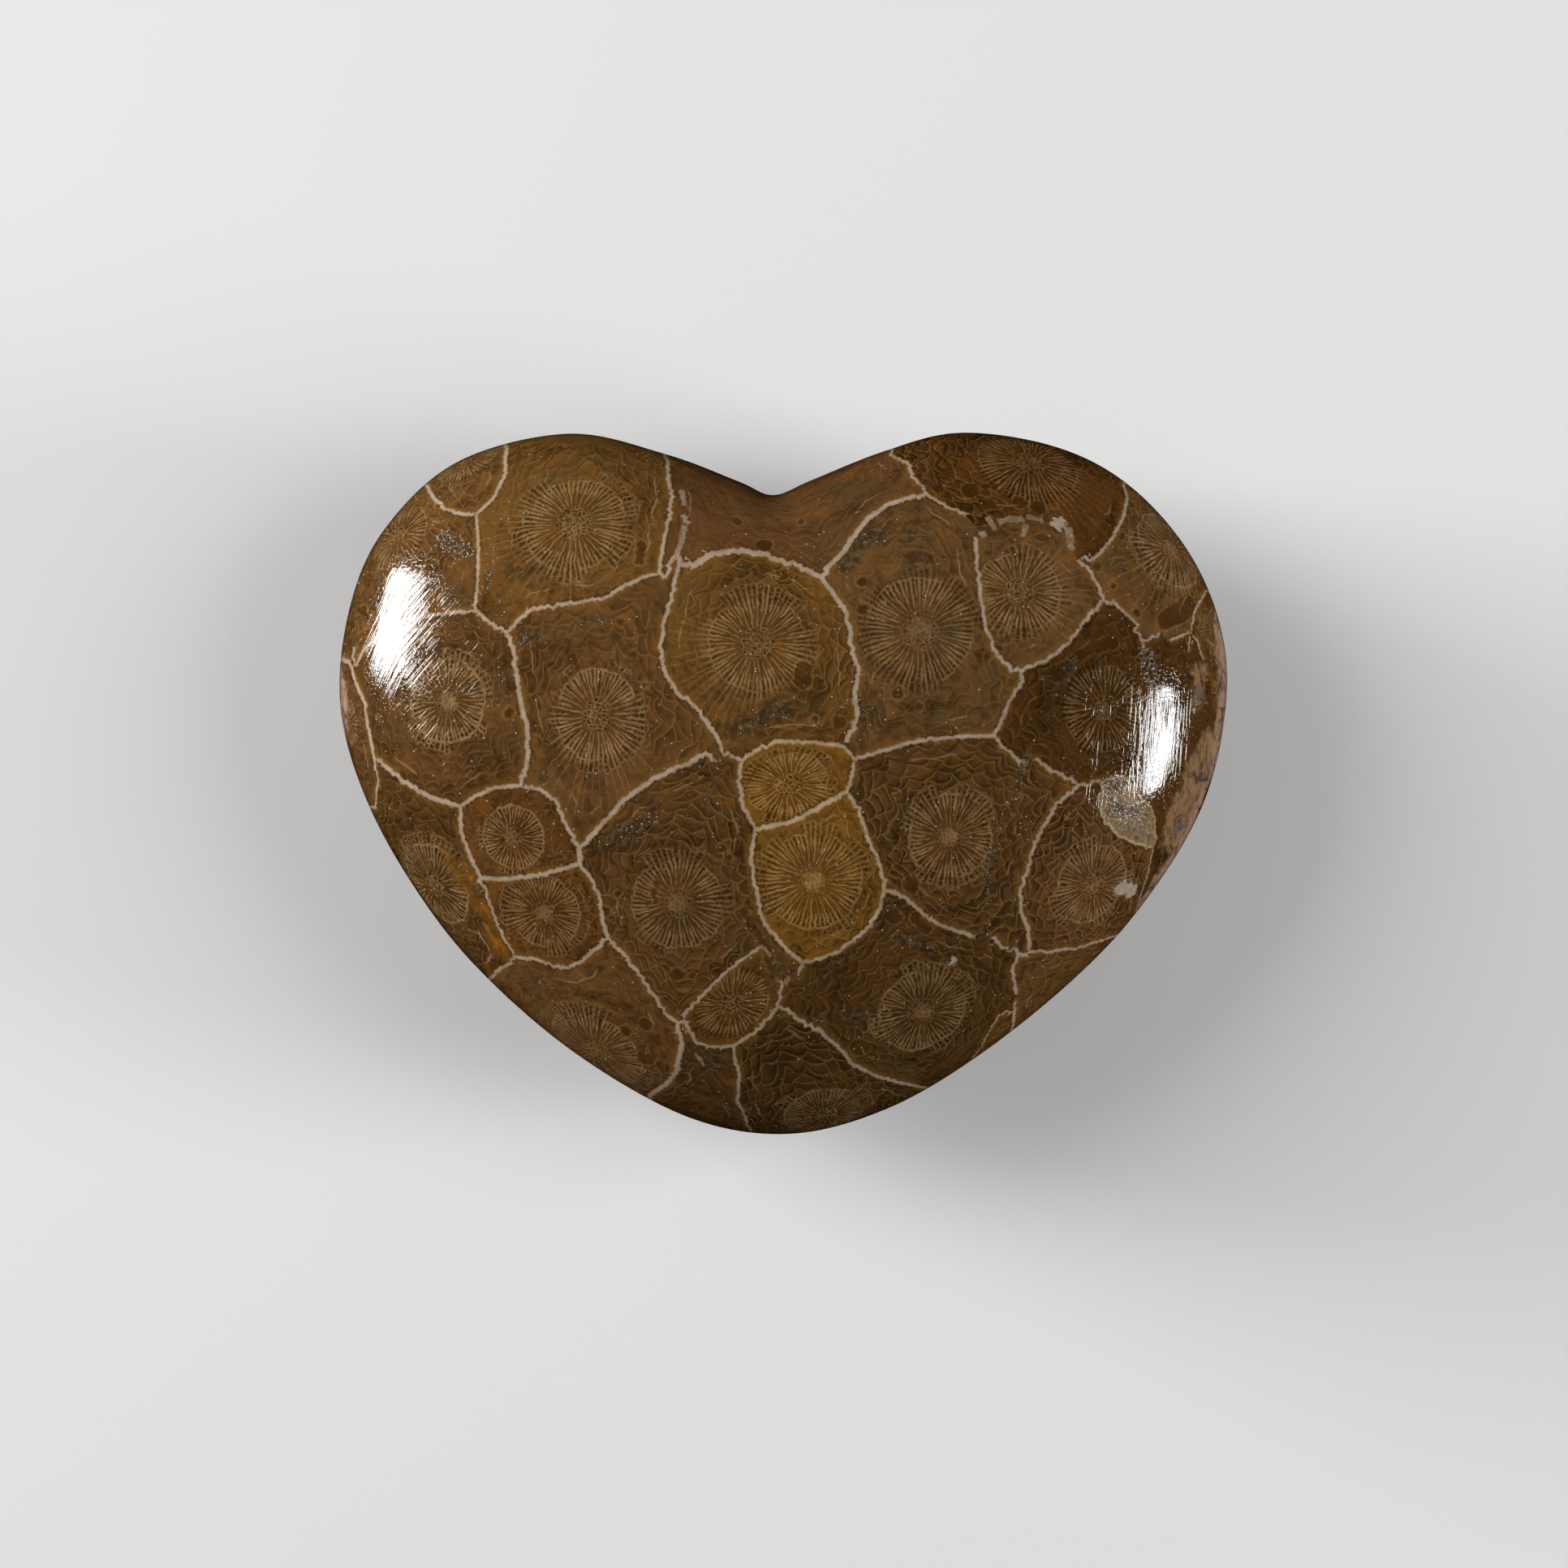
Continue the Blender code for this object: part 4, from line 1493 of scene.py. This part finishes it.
    def draw_painted_glints(self, thick: Signal) -> None:
        """Painted glints: pale specks that stand in for light flashing off crystal grains, a few all
        over the stone.

        Args:
            thick: 1 where the painted glints are many.
        """
        grain = self.cells(self.places, self.look.grains)
        picked, bright, _ = self.cells(self.places, self.look.grains, out="Color").parts()
        clusters = self.mottle(0.25, 2.0).rising(0.45, 0.7)
        many = thick * 0.2 + clusters * 0.075 + 0.013
        glint = grain.rising(0.4, 0.16) * (many - picked).rising(0.0, 0.004)
        # painted highlight: each picked grain is covered with the glint colour
        self.cover(self.look.glint, glint * (bright * bright * 0.75 + 0.15))

    def scratches(self, degrees: float, across: float = 4.2, along: float = 0.24) -> Signal:
        """Noise drawn out along one direction of the floor's plane.

        Args:
            degrees: The direction that the scratches run in, from +X towards +Y.
            across: Waves to a millimetre across them.
            along: Waves to a millimetre along them.

        Returns:
            A value from 0 to 1.
        """
        x, y, z = self.places.parts()
        sine, cosine = math.sin(math.radians(degrees)), math.cos(math.radians(degrees))
        beside = x * (sine * across) - y * (cosine * across)
        ahead = x * (cosine * along) + y * (sine * along)
        return self.noise(self.vector(beside, ahead, z * along), 1.0, 2.0, 0.6)

    def polish(self) -> Signal:
        """The last polish, with its fine parallel scratches and small pits.

        The scratches slant on the left lobe, where two strokes of the wheel meet, and stand
        nearly upright on the right one.

        Returns:
            The normal of the gloss.
        """
        x = self.places.parts()[0]
        outer_left, inner_left, right = (self.scratches(degrees) for degrees in (64, 48, 86))
        left = x.rising(-30.0, -28.5).choose(inner_left, outer_left)
        marks = x.rising(-6.0, 6.0).choose(right, left).rising(0.3, 0.7)
        worn = self.mottle(0.4).rising(0.36, 0.6) * 0.75 + 0.25
        pits = self.mottle(3.8, 2.0, 0.6).rising(0.5, 0.7)
        height = marks * worn * 0.52 - pits * (self.crystal.rising(-0.4, 0.2) * 0.45 + 0.14)
        return self.bump(height, self.look.scratch_depth * MM)


def placed(name: str, data: bpy.types.ID) -> bpy.types.Object:
    """Puts a new object in the scene.

    Args:
        name: Its name.
        data: Its mesh, lamp or camera.

    Returns:
        The object.
    """
    made = bpy.data.objects.new(name, data)
    bpy.context.scene.collection.objects.link(made)
    return made


def finished(name: str, bm: bmesh.types.BMesh, material: bpy.types.Material) -> bpy.types.Mesh:
    """Makes a mesh and frees what it was built with.

    Args:
        name: Its name.
        bm: What it was built with.
        material: Its material.

    Returns:
        The mesh.
    """
    mesh = bpy.data.meshes.new(name)
    bm.to_mesh(mesh)
    bm.free()
    mesh.materials.append(material)
    return mesh


@dataclass
class HeartStone:
    """The fossil heart itself.

    Args:
        surface: Its form.
        squares: Squares along each side of the six grids that it is made of.
        wave: Depth of the low hollows that grinding by hand left, in millimetres.
        wave_length: How far apart they are, in millimetres.
        finish: The polished stone.
    """

    surface: HeartSurface
    squares: int = 126
    wave: float = 0.06
    wave_length: float = 8.0
    finish: PolishedCoral = field(default_factory=PolishedCoral)

    def build(self) -> bpy.types.Object:
        """Builds the stone from an evenly rounded cube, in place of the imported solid.

        Returns:
            The stone.
        """
        bm = bmesh.new()
        bmesh.ops.create_cube(bm, size=2.0)
        bmesh.ops.subdivide_edges(bm, edges=bm.edges[:], cuts=self.squares - 1, use_grid_fill=True)
        cube = np.array([vertex.co for vertex in bm.verts])
        x, y, z = unit(np.tan(cube * math.pi / 4)).T
        share = np.clip(np.hypot(x, y), 0, 1) ** (2 / self.surface.form.dome_power)
        points = self.hollowed(self.surface.point(np.arctan2(y, x), share, z > 0))
        for vertex, point in zip(bm.verts, points):
            vertex.co = Vector(point) * MM
        bmesh.ops.recalc_face_normals(bm, faces=bm.faces[:])
        mesh = finished("fossil_coral_heart", bm, self.finish.material())
        mesh.shade_smooth()
        self.write_attributes(mesh)
        stone = placed("fossil_coral_heart", mesh)
        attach(stone, "root")
        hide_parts("coral_heart")
        return stone

    def hollowed(self, points: Array) -> Array:
        """The stone with its low hollows, which leave the flat that it rests on.

        Args:
            points: One row of x, y and z for each vertex, in millimetres.

        Returns:
            The same rows, moved inwards a little.
        """
        on_flat = 0.01
        waves = [noise.noise(Vector(point) / self.wave_length) for point in points]
        depth = self.wave * (0.5 + 0.5 * np.clip(waves, -1, 1))
        depth[points[:, 2] < on_flat] = 0
        return points - depth[:, None] * self.surface.normal(points)

    def write_attributes(self, mesh: bpy.types.Mesh) -> None:
        """Gives the mesh what its material draws the coral from.

        Args:
            mesh: The stone's mesh.
        """
        vertices = np.empty(len(mesh.vertices) * 3)
        mesh.vertices.foreach_get("co", vertices)
        vertices = vertices.reshape(-1, 3) / MM
        loops = np.empty(len(mesh.loops), int)
        mesh.loops.foreach_get("vertex_index", loops)
        pattern = CoralPattern(self.surface)
        pattern.lay_out()
        depth = pattern.read_marks(vertices)
        at_corners = pattern.read(vertices[loops.reshape(-1, 4)])
        at_points = {"marks": depth[:, :3], "spots": np.pad(depth[:, 3:], ((0, 0), (0, 1)))}
        for domain, values in (("CORNER", at_corners), ("POINT", at_points)):
            for name, rows in values.items():
                attribute = mesh.attributes.new(name, "FLOAT_VECTOR", domain)
                attribute.data.foreach_set("vector", rows.astype(np.float32).ravel())


@dataclass(frozen=True)
class SoftBox:
    """A lamp that faces the stone.

    Args:
        name: Its name.
        azimuth: Which way it stands from the stone, in degrees from +X towards +Y.
        elevation: How high it stands, in degrees.
        distance: How far away, in metres.
        size: Its width and height, in metres.
        power: In watts.
        mirrored: Whether the polish reflects it.
        roll: How far it is turned about the way it faces, in degrees.
        shape: Its outline, as Blender names it.
        target_height: How high over the floor it is aimed, in metres.
    """

    name: str
    azimuth: float
    elevation: float
    distance: float
    size: tuple[float, float]
    power: float
    mirrored: bool
    roll: float = 0.0
    shape: str = "RECTANGLE"
    target_height: float = 0.01

    def build(self) -> None:
        """Adds the lamp to the scene."""
        data = bpy.data.lights.new(self.name, "AREA")
        data.shape = self.shape
        data.size, data.size_y = self.size
        data.energy = self.power
        lamp = placed(self.name, data)
        azimuth, elevation = math.radians(self.azimuth), math.radians(self.elevation)
        level = math.cos(elevation)
        away = Vector((math.cos(azimuth) * level, math.sin(azimuth) * level, math.sin(elevation)))
        lamp.location = away * self.distance + Vector((0, 0, self.target_height))
        lamp.rotation_mode = "QUATERNION"
        roll = Quaternion((0, 0, 1), math.radians(self.roll))
        lamp.rotation_quaternion = away.to_track_quat("Z", "Y") @ roll
        lamp.visible_glossy = self.mirrored


@dataclass
class Studio:
    """The pale floor, the lamps and the camera, none of which belongs to the stone.

    Args:
        floor_size: Width of the floor, in metres.
        floor_grey: How pale it is.
        room_light: How bright the room is.
        lamps: The lamps.
    """

    floor_size: float = 3.0
    floor_grey: float = 0.62
    room_light: float = 0.10
    lamps: tuple[SoftBox, ...] = (
        SoftBox("left_softbox", 162.4, 11.7, 0.62, (0.24, 0.26), 6.0, True, 7.5),
        SoftBox("right_softbox", -6.3, 18.5, 0.62, (0.235, 0.15), 2.4, True, 25, "ELLIPSE"),
        SoftBox("left_fill", 155, 42, 0.9, (0.45, 0.45), 4.2, False),
        SoftBox("right_fill", 5, 46, 0.9, (0.45, 0.45), 3.3, False),
    )

    def build(self) -> None:
        """Adds all of them and sets the scene's camera."""
        self.lay_floor()
        for lamp in self.lamps:
            lamp.build()
        self.light_room()
        self.place_camera()
        bpy.context.scene.view_settings.view_transform = "Standard"

    def lay_floor(self) -> None:
        """A plain pale floor, which the polish doesn't mirror."""
        material = bpy.data.materials.new("pale_floor")
        material.use_nodes = True
        set_inputs(material.node_tree.nodes["Principled BSDF"], {
            "Base Color": (*(self.floor_grey,) * 3, 1),
            "Roughness": 0.9,
            "Specular IOR Level": 0.1,
        })
        bm = bmesh.new()
        bmesh.ops.create_grid(bm, x_segments=1, y_segments=1, size=self.floor_size / 2)
        floor = placed("floor", finished("floor", bm, material))
        floor.visible_glossy = False

    def light_room(self) -> None:
        """A dim even room, which the polish doesn't mirror."""
        world = bpy.data.worlds.new("room")
        world.use_nodes = True
        set_inputs(world.node_tree.nodes["Background"], {
            "Color": (1.0, 0.97, 0.94, 1),
            "Strength": self.room_light,
        })
        world.cycles_visibility.glossy = False
        bpy.context.scene.world = world

    def place_camera(self) -> None:
        """A long lens straight above the stone, framed as the photograph is."""
        data = bpy.data.cameras.new("camera")
        data.sensor_width = SENSOR_WIDTH
        data.lens = SENSOR_WIDTH * CAMERA_DISTANCE / (PHOTO_PX * MM_PER_PX)
        data.clip_start, data.clip_end = 0.01, 10.0
        camera = placed("camera", data)
        across = (PHOTO_PX / 2 - HEART_CENTRE_PX[0]) * MM_PER_PX
        along = (HEART_CENTRE_PX[1] - PHOTO_PX / 2) * MM_PER_PX
        height = HeartForm().widest_z() + CAMERA_DISTANCE
        camera.location = Vector((across, along, height)) * MM
        bpy.context.scene.camera = camera


def main() -> None:
    """Builds the stone and its studio."""
    logging.basicConfig(level=logging.INFO, format="%(message)s")
    Studio().build()
    log.info("floor, lamps and camera are in place")
    stone = HeartStone(HeartSurface(HeartForm())).build()
    log.info("%s has %d faces", stone.name, len(stone.data.polygons))


if __name__ == "__main__":
    main()
